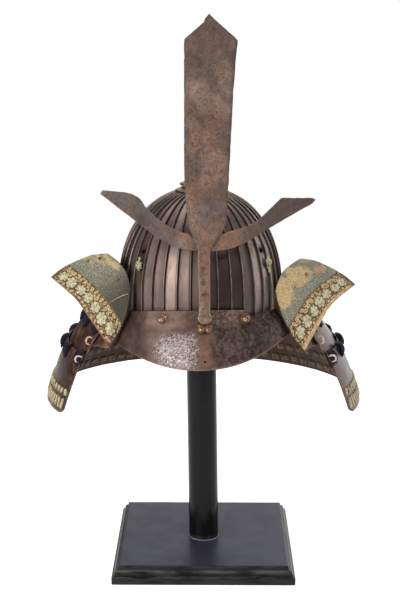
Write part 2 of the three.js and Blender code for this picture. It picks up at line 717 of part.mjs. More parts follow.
const helmet = new THREE.Group();
helmet.position.set(HELMET_X, 0, BROW_HEIGHT);
helmet.rotation.z = radians(HELMET_YAW);
helmet.add(bowl(), bowlKnob(1, 'bowl_knob_left'), bowlKnob(-1, 'bowl_knob_right'), waistBand());
helmet.add(crownRosette(), crownCollar());
helmet.add(visor(), visorRivet(1, 'visor_rivet_left'), visorRivet(-1, 'visor_rivet_right'));
helmet.add(crestBlade(), crestHorns(), crestSocket());
helmet.add(neckGuard());

const group = new THREE.Group();
group.add(standBase(), standPost(), standHead(), helmet);

export default group;
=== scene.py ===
# A ribbed kabuto helmet on its black display stand: shapes, finishes, camera and light.
# The helmet's own sizes are in millimetres, measured from its brow line. +X is the wearer's left.
import math

import bpy
import bmesh
import numpy as np
from mathutils import Matrix, Vector


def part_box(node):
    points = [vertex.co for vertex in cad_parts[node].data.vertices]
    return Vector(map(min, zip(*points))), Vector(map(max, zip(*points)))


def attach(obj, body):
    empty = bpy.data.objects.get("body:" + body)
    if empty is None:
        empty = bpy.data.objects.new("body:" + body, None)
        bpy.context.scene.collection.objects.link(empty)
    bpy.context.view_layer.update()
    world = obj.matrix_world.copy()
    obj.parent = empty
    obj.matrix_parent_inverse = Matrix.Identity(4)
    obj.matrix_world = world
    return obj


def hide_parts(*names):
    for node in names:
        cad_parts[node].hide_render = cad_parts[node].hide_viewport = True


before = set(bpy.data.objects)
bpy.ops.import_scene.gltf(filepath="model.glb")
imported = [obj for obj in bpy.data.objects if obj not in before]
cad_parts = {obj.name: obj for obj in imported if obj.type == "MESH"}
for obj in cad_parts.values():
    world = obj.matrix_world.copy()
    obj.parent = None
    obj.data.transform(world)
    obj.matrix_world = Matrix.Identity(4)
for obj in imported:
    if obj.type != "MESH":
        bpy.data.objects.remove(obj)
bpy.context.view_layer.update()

MM = 0.001
PLATE = 2.0

# Where the helmet sits
HELMET_X = -5.2
BROW_HEIGHT = 370.0
HELMET_YAW = math.radians(3.1)
GUARD_ROLL = math.radians(0.7)

# Bowl
BOWL_SIDE, BOWL_FRONT, BOWL_BACK, BOWL_HEIGHT = 105.5, 113.0, 119.0, 132.0
BOWL_POWER = 2.2
BOWL_SKIRT = 16.0
CROWN_HOLE = 16.0
RIBS = 40
RIB_HEIGHT = 3.0
RIB_HALF = 0.95
BAND_DEPTH = 15.0

# Visor
VISOR_SIDE, VISOR_FRONT = 111.1, 118.6
VISOR_SPREAD = 55.0
VISOR_FLANGE = 20.0
VISOR_REACH, VISOR_DROP, VISOR_TIP_X = 152.0, 70.0, 111.0
RIVET_RADIUS, RIVET_ANGLE = 6.5, 27.4

# Crest
CREST_Y = -133.0
TANG_HOLES = ((-2.6, 53.9), (-2, 35.4), (-1.1, 21.5))
BLADE_THICKNESS = 3.0
HORN_THICKNESS = 2.2

# Neck guard
GUARD_TOP, GUARD_DEPTH, GUARD_SHIFT = -26.0, 136.0, 9.0
GUARD_SIDES = (112.0, 208.0)
GUARD_LENGTHS = (118.0, 187.0)
GUARD_CENTRES = (3.0, 45.0)
LAME_STEP, LAME_LENGTH = 4.0, 90.0
LAME_FRONT, LAME_RAKE = 58.0, 4.0
LAME_SPANS = ((0.0, 0.474), (0.248, 0.707), (0.567, 1.0))
LACE_ANGLES = (61.5, 75, 90, 108, 127, 146, 166)
SEAM_AT = 0.6
STUD_RADIUS = 2.4
FOLD_START, FOLD_END = 48.0, 61.0

# Camera, in metres, mm and degrees
CAMERA_PLACE = (0.0085, -1.658, 0.736)
CAMERA_LENS, CAMERA_DOWN, CAMERA_YAW = 76.6, 12.97, 0.48

ROOM_LIGHT = 0.07                # the soft light that comes from all round

# ---- camera and light ---------------------------------------------------------------------


def studio_camera():
    lens = bpy.data.cameras.new("camera")
    lens.lens = CAMERA_LENS
    camera = linked("camera", lens)
    camera.location = CAMERA_PLACE
    camera.rotation_euler = (math.radians(90 - CAMERA_DOWN), 0, math.radians(CAMERA_YAW))
    bpy.context.scene.camera = camera


def linked(name, data):
    """A new object in the scene."""
    thing = bpy.data.objects.new(name, data)
    bpy.context.scene.collection.objects.link(thing)
    return thing


def softbox(name, place, target, width, height, power, tint=(1, 1, 1)):
    lamp = bpy.data.lights.new(name, "AREA")
    lamp.shape = "RECTANGLE"
    lamp.size, lamp.size_y = width, height
    lamp.energy = power
    lamp.color = tint
    holder = linked(name, lamp)
    holder.location = place
    holder.rotation_euler = (Vector(target) - Vector(place)).to_track_quat("-Z", "Y").to_euler()


def studio():
    world = bpy.data.worlds.new("studio")
    world.use_nodes = True
    tree = world.node_tree
    seen, backdrop, mixed = (tree.nodes.new(kind) for kind in
                             ("ShaderNodeLightPath", "ShaderNodeBackground", "ShaderNodeMixShader"))
    room = tree.nodes["Background"]
    room.inputs[0].default_value, room.inputs[1].default_value = (1, 1, 1, 1), ROOM_LIGHT
    backdrop.inputs[0].default_value = (1, 1, 1, 1)
    tree.links.new(seen.outputs["Is Camera Ray"], mixed.inputs[0])
    tree.links.new(room.outputs[0], mixed.inputs[1])
    tree.links.new(backdrop.outputs[0], mixed.inputs[2])
    tree.links.new(mixed.outputs[0], tree.nodes["World Output"].inputs[0])
    bpy.context.scene.world = world
    bpy.context.scene.view_settings.view_transform = "Standard"
    softbox("key", (-1.55, -1.75, 0.85), (0, 0, 0.40), 1.6, 1.3, 69, (1, 0.985, 0.96))
    softbox("fill", (1.15, -1.25, 1.9), (0.1, 0, 0.35), 0.8, 0.8, 27, (1, 0.99, 0.97))
    softbox("right", (2.0, 0.25, 0.7), (0, 0, 0.4), 0.5, 1.4, 18, (0.97, 0.96, 1))
    softbox("back", (1.0, 2.3, 0.8), (0, 0, 0.4), 3.9, 2.0, 46, (0.96, 0.96, 1))
    softbox("top", (-0.1, 0.7, 2.3), (0, 0.2, 0.1), 2.4, 2.0, 50)


# ---- points, grids and closed surfaces -----------------------------------------------------


def lattice(cells, seed):
    """A repeatable random number from 0 to 1 for each whole-number cell."""
    x, y, z = (cells[..., axis].astype(np.int64) for axis in range(3))
    mixed = (x * 374761393 + y * 668265263 + z * 2147483647 + seed * 1274126177) & 0xFFFFFFFF
    mixed = ((mixed ^ (mixed >> 13)) * 1103515245) & 0xFFFFFFFF
    mixed = ((mixed ^ (mixed >> 16)) * 22695477 + 1) & 0xFFFFFFFF
    return (mixed ^ (mixed >> 15)) / 0xFFFFFFFF


def grain(points, size, seed=0, octaves=2):
    """Smooth random heights from -1 to 1 that change over the given size, in mm."""
    total, weight = 0.0, 0.0
    for octave in range(octaves):
        at = np.asarray(points, float) * (2 ** octave / size)
        cell = np.floor(at)
        part = at - cell
        part = part * part * (3 - 2 * part)
        value = 0.0
        for corner in np.ndindex(2, 2, 2):
            share = np.prod(np.where(corner, part, 1 - part), axis=-1)
            value = value + share * lattice(cell + np.array(corner), seed + octave)
        total = total + (2 * value - 1) * 0.5 ** octave
        weight += 0.5 ** octave
    return total / weight


def smooth(value, low, high):
    share = np.clip((np.asarray(value, float) - low) / (high - low), 0, 1)
    return share * share * (3 - 2 * share)


def spot(distance, radius):
    """1 at the middle, falling to 0 a little past the radius."""
    return 1 - smooth(distance, 0.45 * radius, 1.35 * radius)


def blend(a, b, share):
    return a + (b - a) * share


def stations(count, ends=0.01):
    """Shares from 0 to 1 with close steps at both ends, where a rim is rounded."""
    close = np.array([0, 0.12, 0.42, 1]) * ends
    return np.concatenate([close, np.linspace(ends, 1 - ends, count)[1:-1], 1 - close[::-1]])


def rim_round(count):
    """How far the wall's thickness has opened at each station."""
    share = np.ones(count)
    share[:3], share[-3:] = (0.3, 0.68, 0.93), (0.93, 0.68, 0.3)
    return share


def normals(columns):
    along = np.gradient(columns, axis=0)
    down = np.gradient(columns, axis=1)
    out = np.cross(along, down)
    return out / np.maximum(np.linalg.norm(out, axis=-1, keepdims=True), 1e-9)


class Form:
    """Closed surfaces gathered into one piece, with named values kept at their points."""

    def __init__(self):
        self.points, self.faces, self.values, self.count = [], [], [], 0

    def add(self, points, faces, **values):
        points = np.asarray(points, float).reshape(-1, 3)
        self.faces += [tuple(corner + self.count for corner in face) for face in faces]
        self.points.append(points)
        self.values.append((len(points), {key: np.ravel(v) for key, v in values.items()}))
        self.count += len(points)
        return self

    def value(self, key):
        parts = [np.broadcast_to(v.get(key, 0.0), n) if np.size(v.get(key, 0.0)) == 1
                 else v[key] for n, v in self.values]
        return np.concatenate(parts)


def quads(columns, rows, closed_columns, closed_rows):
    faces = []
    for i in range(columns if closed_columns else columns - 1):
        here, there = i * rows, ((i + 1) % columns) * rows
        for j in range(rows if closed_rows else rows - 1):
            k = (j + 1) % rows
            faces.append((here + j, there + j, there + k, here + k))
    return faces


def capped(rings, around):
    """Faces of a row of closed rings, with a flat face at each end."""
    last = (rings - 1) * around
    return quads(rings, around, False, True) + [tuple(range(around)), tuple(range(last, last + around))]


def run_along(path):
    """The distance from a path's start to each of its points."""
    return np.concatenate([[0], np.cumsum(np.linalg.norm(np.diff(path, axis=0), axis=1))])


def wall(outer, inner, closed=False, **values):
    """A solid wall between two grids; each column's two faces make one closed loop."""
    columns, rows = outer.shape[:2]
    loop = np.concatenate([outer, inner[:, ::-1]], axis=1)
    faces = quads(columns, 2 * rows, closed, True)
    if not closed:
        for start in (0, (columns - 1) * 2 * rows):
            for j in range(rows - 1):
                far = 2 * rows - 1 - j
                faces.append((start + j, start + j + 1, start + far - 1, start + far))
    values = {k: v + np.zeros(outer.shape[:2]) for k, v in values.items()}
    return loop, faces, {k: np.concatenate([v, v[:, ::-1]], axis=1) for k, v in values.items()}


def rims(columns):
    """How far a sheet has opened at each point of its grid, less at all four edges."""
    return np.minimum(rim_round(columns.shape[1])[None, :], rim_round(columns.shape[0])[:, None])


def plate(columns, rough, rough_size, seed, **values):
    """An uneven wall of one plate's thickness round a grid, with rounded rims."""
    out = normals(columns)
    half = PLATE / 2 * rims(columns)
    uneven = rough * grain(columns, rough_size, seed)
    top, bottom = (columns + out * (uneven + way * half)[..., None] for way in (1, -1))
    loop, faces, both = wall(top, bottom, **values)
    rows = columns.shape[1]
    outward = (out[..., :2] * (columns[..., :2] - (0, 25))).sum() > 0
    inside = np.zeros(loop.shape[:2])
    inside[:, rows:] = 1
    both["inside"] = inside if outward else 1 - inside
    return loop, faces, both


def turned(profile, segments, closed=False):
    """A round surface about +Z from (radius, height) pairs; a radius of 0 is a pole."""
    points, faces, rings = [], [], []
    angles = np.arange(segments) * 2 * math.pi / segments
    for radius, height in profile:
        if radius < 1e-6:
            rings.append([len(points)] * segments)
            points.append((0, 0, height))
        else:
            rings.append(list(range(len(points), len(points) + segments)))
            points += [(radius * math.cos(a), radius * math.sin(a), height) for a in angles]
    pairs = list(zip(rings, rings[1:])) + ([(rings[-1], rings[0])] if closed else [])
    for low, high in pairs:
        for i in range(segments):
            j = (i + 1) % segments
            face = [low[i], low[j], high[j], high[i]]
            faces.append(tuple(dict.fromkeys(face)))
    return np.array(points), faces


def rounded(profile, radius, closed=False):
    """The same line with each corner replaced by a small curve."""
    line = [np.array(p, float) for p in profile]
    result = []
    for k, here in enumerate(line):
        if not closed and k in (0, len(line) - 1):
            result.append(tuple(here))
            continue
        before, after = line[k - 1], line[(k + 1) % len(line)]
        arms = []
        for other in (before, after):
            arm = other - here
            size = max(np.linalg.norm(arm), 1e-9)
            arms.append(arm / size * min(radius, 0.45 * size))
        result += [tuple(here + arms[0]), tuple(here + 0.3 * (arms[0] + arms[1])),
                   tuple(here + arms[1])]
    return result


def tube(path, radius, sides=8, ridges=0, twist=0.0, squash=1.0):
    """A round cord along a path, closed at both ends; ridges wind round it as plies do."""
    path = np.asarray(path, float)
    ahead = np.gradient(path, axis=0)
    ahead /= np.maximum(np.linalg.norm(ahead, axis=1, keepdims=True), 1e-9)
    up = np.array([0.21, -0.35, 0.91])
    side = np.cross(ahead, up)
    side /= np.linalg.norm(side, axis=1, keepdims=True)
    rise = np.cross(side, ahead)
    turn = np.arange(sides) * 2 * math.pi / sides
    run = run_along(path)
    size = radius * np.ones((len(path), sides))
    if ridges:
        size *= 1 + 0.2 * np.cos(ridges * turn[None, :] + twist * run[:, None])
    size[[0, -1]] *= 0.35
    rings = (path[:, None] + side[:, None] * (size * np.cos(turn))[..., None]
             + rise[:, None] * (size * squash * np.sin(turn))[..., None])
    return rings, capped(len(path), sides)


def aimed(points, at, direction, spin=0.0):
    """Points turned so that their own +Z runs along a direction, and moved."""
    turn = Vector((0, 0, 1)).rotation_difference(Vector(direction)).to_matrix()
    turn = turn @ Matrix.Rotation(spin, 3, "Z")
    return np.asarray(points) @ np.array(turn).T + np.asarray(at)


def in_helmet(points):
    x, y, z = np.moveaxis(np.asarray(points, float), -1, 0)
    c, s = math.cos(HELMET_YAW), math.sin(HELMET_YAW)
    return np.stack([x * c - y * s + HELMET_X, x * s + y * c, z + BROW_HEIGHT], -1)


def in_guard(points):
    x, y, z = np.moveaxis(np.asarray(points, float), -1, 0)
    c, s = math.cos(GUARD_ROLL), math.sin(GUARD_ROLL)
    return in_helmet(np.stack([x * c + z * s, y, -x * s + z * c], -1))


def on_stand(points):
    return np.asarray(points, float)


def face_out(mesh):
    shell = bmesh.new()
    shell.from_mesh(mesh)
    bmesh.ops.recalc_face_normals(shell, faces=shell.faces)
    shell.to_mesh(mesh)
    shell.free()


def make(name, form, finish, slot, place=in_helmet, nodes=(), crease=32, cutters=()):
    """Turns a form into a piece that rides with the object."""
    mesh = bpy.data.meshes.new(name)
    points = place(np.concatenate(form.points)) * MM
    mesh.from_pydata(points.tolist(), [], form.faces)
    for key in sorted({k for _, v in form.values for k in v}):
        mesh.attributes.new(key, "FLOAT", "POINT").data.foreach_set(
            "value", form.value(key).astype(np.float32))
    face_out(mesh)
    mesh.materials.append(finish)
    piece = linked(name, mesh)
    if cutters:
        piece = drilled(piece, cutters, place)
    return settle(piece, slot, nodes, crease)


def settle(piece, slot, nodes, crease):
    piece.data.shade_smooth()
    piece.data.set_sharp_from_angle(angle=math.radians(crease))
    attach(piece, "root")
    if nodes:
        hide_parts(*nodes)
    return piece


def applied(piece):
    """Bakes the live modifiers into a plain mesh."""
    shape = piece.evaluated_get(bpy.context.evaluated_depsgraph_get())
    mesh = bpy.data.meshes.new_from_object(shape)
    piece.modifiers.clear()
    piece.data = mesh


def drilled(piece, cutters, place):
    """Cuts round holes: each cutter is (start, direction, radius, length)."""
    drills = []
    for start, direction, radius, length in cutters:
        points, faces = turned([(0, 0), (radius, 0), (radius, length), (0, length)], 28)
        mesh = bpy.data.meshes.new("drill")
        mesh.from_pydata((place(aimed(points, start, direction)) * MM).tolist(), [], faces)
        mesh.materials.append(piece.data.materials[0])
        face_out(mesh)
        drill = linked("drill", mesh)
        drills.append(drill)
        cut = piece.modifiers.new("hole", "BOOLEAN")
        cut.object, cut.operation, cut.solver = drill, "DIFFERENCE", "EXACT"
    applied(piece)
    for drill in drills:
        bpy.data.objects.remove(drill)
    return piece


# ---- finishes ------------------------------------------------------------------------------


class Finish:
    """A node material in the making; sizes are in mm on the object itself."""

    def __init__(self, name, metallic=0.0, specular=0.5):
        self.material = bpy.data.materials.new(name)
        self.material.use_nodes = True
        self.tree = self.material.node_tree
        self.tree.nodes.clear()
        self.shader = self.new("ShaderNodeBsdfPrincipled")
        self.shader.inputs["Metallic"].default_value = metallic
        self.shader.inputs["Specular IOR Level"].default_value = specular
        output = self.new("ShaderNodeOutputMaterial")
        self.tree.links.new(self.shader.outputs[0], output.inputs[0])
        self.where = self.new("ShaderNodeTexCoord").outputs["Object"]

    def new(self, kind, **settings):
        node = self.tree.nodes.new(kind)
        for key, value in settings.items():
            setattr(node, key, value)
        return node

    def put(self, socket, value):
        if isinstance(value, bpy.types.NodeSocket):
            self.tree.links.new(value, socket)
        elif isinstance(value, tuple) and len(value) == 3 and socket.type == "RGBA":
            socket.default_value = (*value, 1)
        else:
            socket.default_value = value

    def scaled(self, size, stretch=(1, 1, 1), seed=0):
        mapping = self.new("ShaderNodeMapping")
        self.put(mapping.inputs["Vector"], self.where)
        mapping.inputs["Scale"].default_value = [1000 / size / s for s in stretch]
        mapping.inputs["Location"].default_value = (seed * 3.7, seed * 1.9, seed * 5.3)
        return mapping.outputs[0]

    def noise(self, size, detail=3.0, rough=0.55, stretch=(1, 1, 1), seed=0, bend=0.0):
        node = self.new("ShaderNodeTexNoise")
        self.put(node.inputs["Vector"], self.scaled(size, stretch, seed))
        for key, value in (("Scale", 1.0), ("Detail", detail), ("Roughness", rough),
                           ("Distortion", bend)):
            node.inputs[key].default_value = value
        return node.outputs[0]

    def value(self, name):
        return self.new("ShaderNodeAttribute", attribute_name=name).outputs["Fac"]

    def math(self, operation, a, b=0.0, clamp=False):
        node = self.new("ShaderNodeMath", operation=operation, use_clamp=clamp)
        self.put(node.inputs[0], a)
        self.put(node.inputs[1], b)
        return node.outputs[0]

    def step(self, value, low, high, start=0.0, end=1.0):
        node = self.new("ShaderNodeMapRange", interpolation_type="SMOOTHSTEP")
        self.put(node.inputs["Value"], value)
        for key, amount in (("From Min", low), ("From Max", high), ("To Min", start),
                            ("To Max", end)):
            node.inputs[key].default_value = amount
        return node.outputs[0]

    def times(self, *values):
        total = values[0]
        for value in values[1:]:
            total = self.math("MULTIPLY", total, value)
        return total

    def plus(self, *values):
        total = values[0]
        for value in values[1:]:
            total = self.math("ADD", total, value)
        return total

    def patch(self, size, low, high, detail=5, rough=0.7, start=0.0, end=1.0, **how):
        """Noise cut into soft patches: start below low, end above high."""
        return self.step(self.noise(size, detail, rough, **how), low, high, start, end)

    def between(self, source, start, end):
        """Noise spread over a range."""
        return self.step(source, 0.3, 0.7, start, end)

    def mix(self, share, a, b):
        node = self.new("ShaderNodeMix", data_type="RGBA", blend_type="MIX")
        self.put(node.inputs[0], share)
        self.put(node.inputs[6], a)
        self.put(node.inputs[7], b)
        return node.outputs[2]

    def over(self, colour, *shares):
        """Lays a colour over the base, as strongly as the product of the shares."""
        self.base = self.mix(self.times(*shares), self.base, colour)

    def ramp(self, value, *stops):
        node = self.new("ShaderNodeValToRGB")
        bar = node.color_ramp
        while len(bar.elements) < len(stops):
            bar.elements.new(0.5)
        for element, (at, colour) in zip(bar.elements, stops):
            element.position, element.color = at, (*colour, 1)
        self.put(node.inputs[0], value)
        return node.outputs[0]

    def bumps(self, *layers):
        """Each layer is (height, depth in mm)."""
        normal = None
        for height, depth in layers:
            node = self.new("ShaderNodeBump")
            node.inputs["Distance"].default_value = depth * MM
            node.inputs["Strength"].default_value = 1.0
            self.put(node.inputs["Height"], height)
            if normal:
                self.put(node.inputs["Normal"], normal)
            normal = node.outputs[0]
        self.put(self.shader.inputs["Normal"], normal)

    def done(self, rough):
        self.put(self.shader.inputs["Base Color"], self.base)
        self.put(self.shader.inputs["Roughness"], rough)
        return self.material


def black_stand_paint(name, specular, dulled):
    f = Finish(name, specular=specular)
    f.base = f.ramp(f.noise(60, 4), (0.3, (0.0036, 0.0034, 0.0038)), (0.7, (0.0066, 0.0062, 0.0068)))
    top, wear = f.value("top"), f.value("wear")
    # painted reflection: upward faces lighter and bluer, as if mirroring the bright room
    f.over((0.026, 0.026, 0.042), top)
    worn = f.times(wear, f.patch(6, 0.36, 0.60, 4, stretch=(7, 7, 1)))
    f.over((0.078, 0.078, 0.070), worn, 0.85)
    f.over((0.20, 0.19, 0.14), f.step(wear, 0.4, 0.9), f.patch(2.6, 0.69, 0.73, 3, seed=3), 0.7)
    rough = f.plus(f.patch(25, 0.35, 0.7, 5, 0.65, dulled, dulled + 0.07, seed=2),
                   f.times(worn, 0.2), f.times(top, 0.1))
    f.bumps((f.noise(3.5, 2), 0.03), (f.noise(0.7, 2), 0.012))
    return f.done(rough)


def foot_ring_dust():
    f = Finish("foot_ring_dust")
    f.base = f.ramp(f.noise(4, 4, 0.7), (0.35, (0.03, 0.03, 0.03)), (0.65, (0.30, 0.30, 0.27)))
    f.bumps((f.noise(1.5, 3), 0.1))
    return f.done(f.between(f.noise(9), 0.5, 0.75))


def bowl_iron():
    f = Finish("bowl_iron", metallic=0.72, specular=0.4)
    cloud = f.noise(22, 5, 0.62, stretch=(1, 1, 2.2))
    tone = f.plus(f.times(f.value("tone"), 0.62), f.times(cloud, 0.55))
    f.base = f.ramp(tone, (0.18, (0.060, 0.038, 0.031)), (0.5, (0.135, 0.097, 0.083)),
                    (0.86, (0.24, 0.185, 0.162)))
    rusty = f.patch(9, 0.50, 0.70, rough=0.72, stretch=(1, 1, 2.6), seed=4)
    f.over((0.100, 0.050, 0.035), rusty, 0.5)
    # dark grooves at each rib's foot: grime in the hollows, and painted shade lines beside the ribs
    groove = f.times(f.value("groove"), f.patch(14, 0.2, 0.5, 4, 0.55, 0.75, 1.0, seed=6))
    f.over((0.014, 0.0062, 0.0048), groove)
    # painted shade on the front plates of the wearer's left and on the whole inside
    f.over((0.022, 0.014, 0.012), f.value("dim"), 0.88)
    f.over((0.22, 0.17, 0.145), f.value("ridge"), f.patch(10, 0.34, 0.6, 4, 0.55, 0.1, 0.6, seed=8))
    # darker round the holes and knobs, and painted shade on the inside
    f.over((0.012, 0.008, 0.007), f.value("stain"))
    f.bumps((f.noise(5, 4, 0.6, stretch=(1, 1, 2)), 0.28), (f.noise(1.0, 3, 0.7), 0.07))
    return f.done(f.plus(f.between(cloud, 0.36, 0.48), f.times(groove, 0.35), f.times(rusty, 0.12)))


def dark_iron():
    """The visor and waist band: brown iron, with bright speckles on the wearer's right; the dark value is
    painted shade.
    """
    f = Finish("dark_iron", metallic=0.38, specular=0.14)
    cloud = f.noise(26, 5, 0.65)
    f.base = f.ramp(cloud, (0.3, (0.066, 0.036, 0.028)), (0.5, (0.120, 0.076, 0.060)),
                    (0.72, (0.190, 0.136, 0.115)))
    f.over((0.060, 0.035, 0.028), f.value("flange"), f.patch(11, 0.40, 0.60, start=0.45, end=0.9, seed=21))
    f.over((0.150, 0.070, 0.045), f.patch(6, 0.55, 0.68, rough=0.75, seed=11), 0.55)
    mottle = f.patch(5.5, 0.42, 0.60, rough=0.72, seed=5)
    # painted shade, mottled: the wearer's left half of the visor and the whole waist band
    f.over((0.015, 0.009, 0.008), f.value("dark"), f.step(mottle, 0, 1, 0.96, 0.60))
    f.over((0.235, 0.155, 0.125), f.value("fleck"), f.patch(4.2, 0.46, 0.60, rough=0.76, seed=9), 0.8)
    speckle = f.value("speckle")
    pits = f.step(f.plus(f.noise(2.7, 5, 0.82, bend=0.8), f.times(speckle, 0.10)), 0.54, 0.64)
    silver = f.times(f.step(speckle, 0.0, 0.5), pits)
    f.over((0.115, 0.083, 0.078), speckle, 0.45)
    f.over((0.47, 0.43, 0.425), silver, 0.8)
    f.over((0.185, 0.098, 0.070), f.value("tan"), f.patch(5, 0.40, 0.58, 5, 0.75, 0.25, 0.85, seed=31))
    f.over((0.23, 0.135, 0.100), f.value("rim"), f.patch(12, 0.3, 0.55, 4, 0.55, 0.35, 1.0, seed=7), 0.7)
    # stains round the rivets, and painted shadow of the turnback on the visor's end
    f.over((0.018, 0.010, 0.008), f.value("stain"), 0.85)
    f.bumps((f.noise(9, 3), 0.4), (f.plus(f.times(pits, speckle), f.times(f.noise(1.6, 3), 0.35)), 0.16))
    return f.done(f.plus(f.between(cloud, 0.44, 0.56), f.times(silver, -0.06)))


def rusty_iron():
    """The crest's blade and horns: pitted, brown, with orange and slate patches."""
    f = Finish("rusty_iron", metallic=0.15, specular=0.35)
    cloud = f.noise(26, 6, 0.68, bend=0.4)
    f.base = f.ramp(cloud, (0.34, (0.052, 0.031, 0.025)), (0.46, (0.110, 0.068, 0.050)),
                    (0.56, (0.165, 0.108, 0.080)), (0.70, (0.22, 0.156, 0.122)))
    rusted = f.value("rusted")
    f.over((0.215, 0.092, 0.048), f.value("orange"), f.patch(8, 0.40, 0.60, 6, 0.72, seed=3), 0.85)
    f.over((0.115, 0.102, 0.070), f.patch(19, 0.54, 0.68, seed=14), 0.3)
    f.over((0.235, 0.105, 0.050), f.patch(11, 0.53, 0.66, rough=0.74, seed=23), rusted)
    f.over((0.120, 0.052, 0.034), f.patch(5.5, 0.48, 0.60, rough=0.72, seed=27), rusted, 0.75)
    f.over((0.21, 0.095, 0.055), f.patch(4, 0.55, 0.68, rough=0.75, seed=6), 0.6)
    f.over((0.150, 0.140, 0.150), f.value("blue"), f.patch(10, 0.42, 0.60, rough=0.65, seed=9), 0.75)
    pits = f.patch(3.0, 0.37, 0.47, rough=0.74, seed=12)
    f.over((0.030, 0.018, 0.015), f.step(pits, 0, 1, 0.75, 0.0))
    crack = f.noise(9, 3, 0.5, seed=17, stretch=(1, 1, 2.2))
    f.over((0.035, 0.020, 0.016), f.step(crack, 0.485, 0.5), f.step(crack, 0.5, 0.515, 1, 0), 0.5)
    f.over((0.23, 0.150, 0.112), f.value("wear"), f.patch(5, 0.4, 0.6, 4, 0.55, seed=2))
    f.over((0.040, 0.029, 0.026), f.value("dull"))
    f.over((0.016, 0.010, 0.009), f.value("stain"))
    f.over((0.30, 0.235, 0.185), f.value("pale"), f.patch(3, 0.44, 0.60, 4, seed=8))
    f.bumps((f.noise(8, 5, 0.65), 0.6), (f.noise(1.8, 4, 0.7, seed=4), 0.34))
    return f.done(f.between(cloud, 0.52, 0.74))


def gilt():
    f = Finish("gilt", metallic=0.75)
    cloud = f.noise(6, 5, 0.7)
    f.base = f.ramp(cloud, (0.34, (0.060, 0.032, 0.017)), (0.5, (0.23, 0.14, 0.050)),
                    (0.7, (0.50, 0.34, 0.13)))
    f.over((0.045, 0.022, 0.012), f.value("groove"), 0.9)
    f.bumps((f.noise(2.5, 4, 0.65), 0.15))
    return f.done(f.between(cloud, 0.5, 0.3))


def copper():
    f = Finish("worn_copper", metallic=0.7)
    cloud = f.noise(5, 5, 0.7)
    f.base = f.ramp(cloud, (0.36, (0.060, 0.028, 0.018)), (0.54, (0.185, 0.095, 0.050)),
                    (0.74, (0.40, 0.26, 0.130)))
    f.over((0.035, 0.016, 0.010), f.value("groove"), 0.85)
    # pale: painted highlight low on the socket's lobes, and a pale spot on each rivet's dome
    f.over((0.56, 0.43, 0.26), f.value("pale"), 0.8)
    f.bumps((f.noise(2.0, 4, 0.65), 0.16))
    return f.done(f.between(cloud, 0.5, 0.3))


def lame_lacquer():
    f = Finish("lame_lacquer", specular=0.2)
    cloud, inside = f.noise(24, 5, 0.62), f.value("inside")
    f.base = f.ramp(cloud, (0.3, (0.016, 0.0075, 0.006)), (0.55, (0.040, 0.018, 0.0125)),
                    (0.75, (0.070, 0.034, 0.023)))
    worn = f.patch(13, 0.52, 0.66, 6, stretch=(1, 1, 1.6), seed=5)
    f.over((0.130, 0.056, 0.030), worn, 0.75)
    f.over((0.18, 0.095, 0.060), f.value("rim"), f.patch(6, 0.42, 0.6, 4, seed=3), 0.6)
    f.over((0.26, 0.105, 0.048), f.value("rust"), f.patch(5, 0.35, 0.6, 4, 0.55, 0.3, 0.9, seed=8))
    f.over((0.040, 0.0165, 0.0085), inside, 0.85)
    f.shader.inputs["Coat Weight"].default_value = 0.10
    f.shader.inputs["Coat Roughness"].default_value = 0.3
    rough = f.plus(f.between(cloud, 0.28, 0.42), f.times(worn, 0.22))
    f.bumps((f.noise(9, 4, 0.6), 0.22), (f.noise(1.8, 3, 0.65), 0.05))
    return f.done(f.math("ADD", rough, f.times(inside, 0.35), clamp=True))


def turnback_field_leather():
    """Stippled grey-green leather, worn through to ochre and pink."""
    f = Finish("turnback_field_leather", specular=0.25)
    fleck = f.noise(1.05, 3, 0.78)
    f.base = f.ramp(fleck, (0.40, (0.040, 0.042, 0.034)), (0.52, (0.150, 0.144, 0.104)),
                    (0.63, (0.40, 0.37, 0.26)))
    f.over((0.105, 0.112, 0.095), f.patch(13, 0.46, 0.60, end=0.45, seed=6))
    ragged = f.math("SUBTRACT", f.plus(f.times(f.noise(7, 6, 0.8, seed=4), 1.5), -0.25), 0.5)
    ochre, pink, blue = (f.step(f.plus(f.value(key), ragged), low, high) for key, low, high in
                         (("ochre", 0.32, 0.64), ("pink", 0.44, 0.60), ("blue", 0.45, 0.62)))
    tone = f.ramp(f.noise(3.5, 5, 0.75, seed=2), (0.34, (0.25, 0.165, 0.070)),
                  (0.5, (0.43, 0.305, 0.140)), (0.68, (0.55, 0.40, 0.205)))
    f.over(tone, ochre, f.step(fleck, 0.36, 0.54, 0.3, 0.85))
    f.over((0.46, 0.215, 0.140), pink, f.step(fleck, 0.40, 0.56, 0.15, 0.8))
    f.over(f.ramp(fleck, (0.38, (0.060, 0.070, 0.078)), (0.62, (0.235, 0.245, 0.235))), blue, 0.75)
    f.over((0.026, 0.023, 0.015), f.value("shade"), 0.9)
    f.bumps((f.noise(9, 4), 0.35), (fleck, 0.22))
    return f.done(f.between(f.noise(8), 0.62, 0.82))


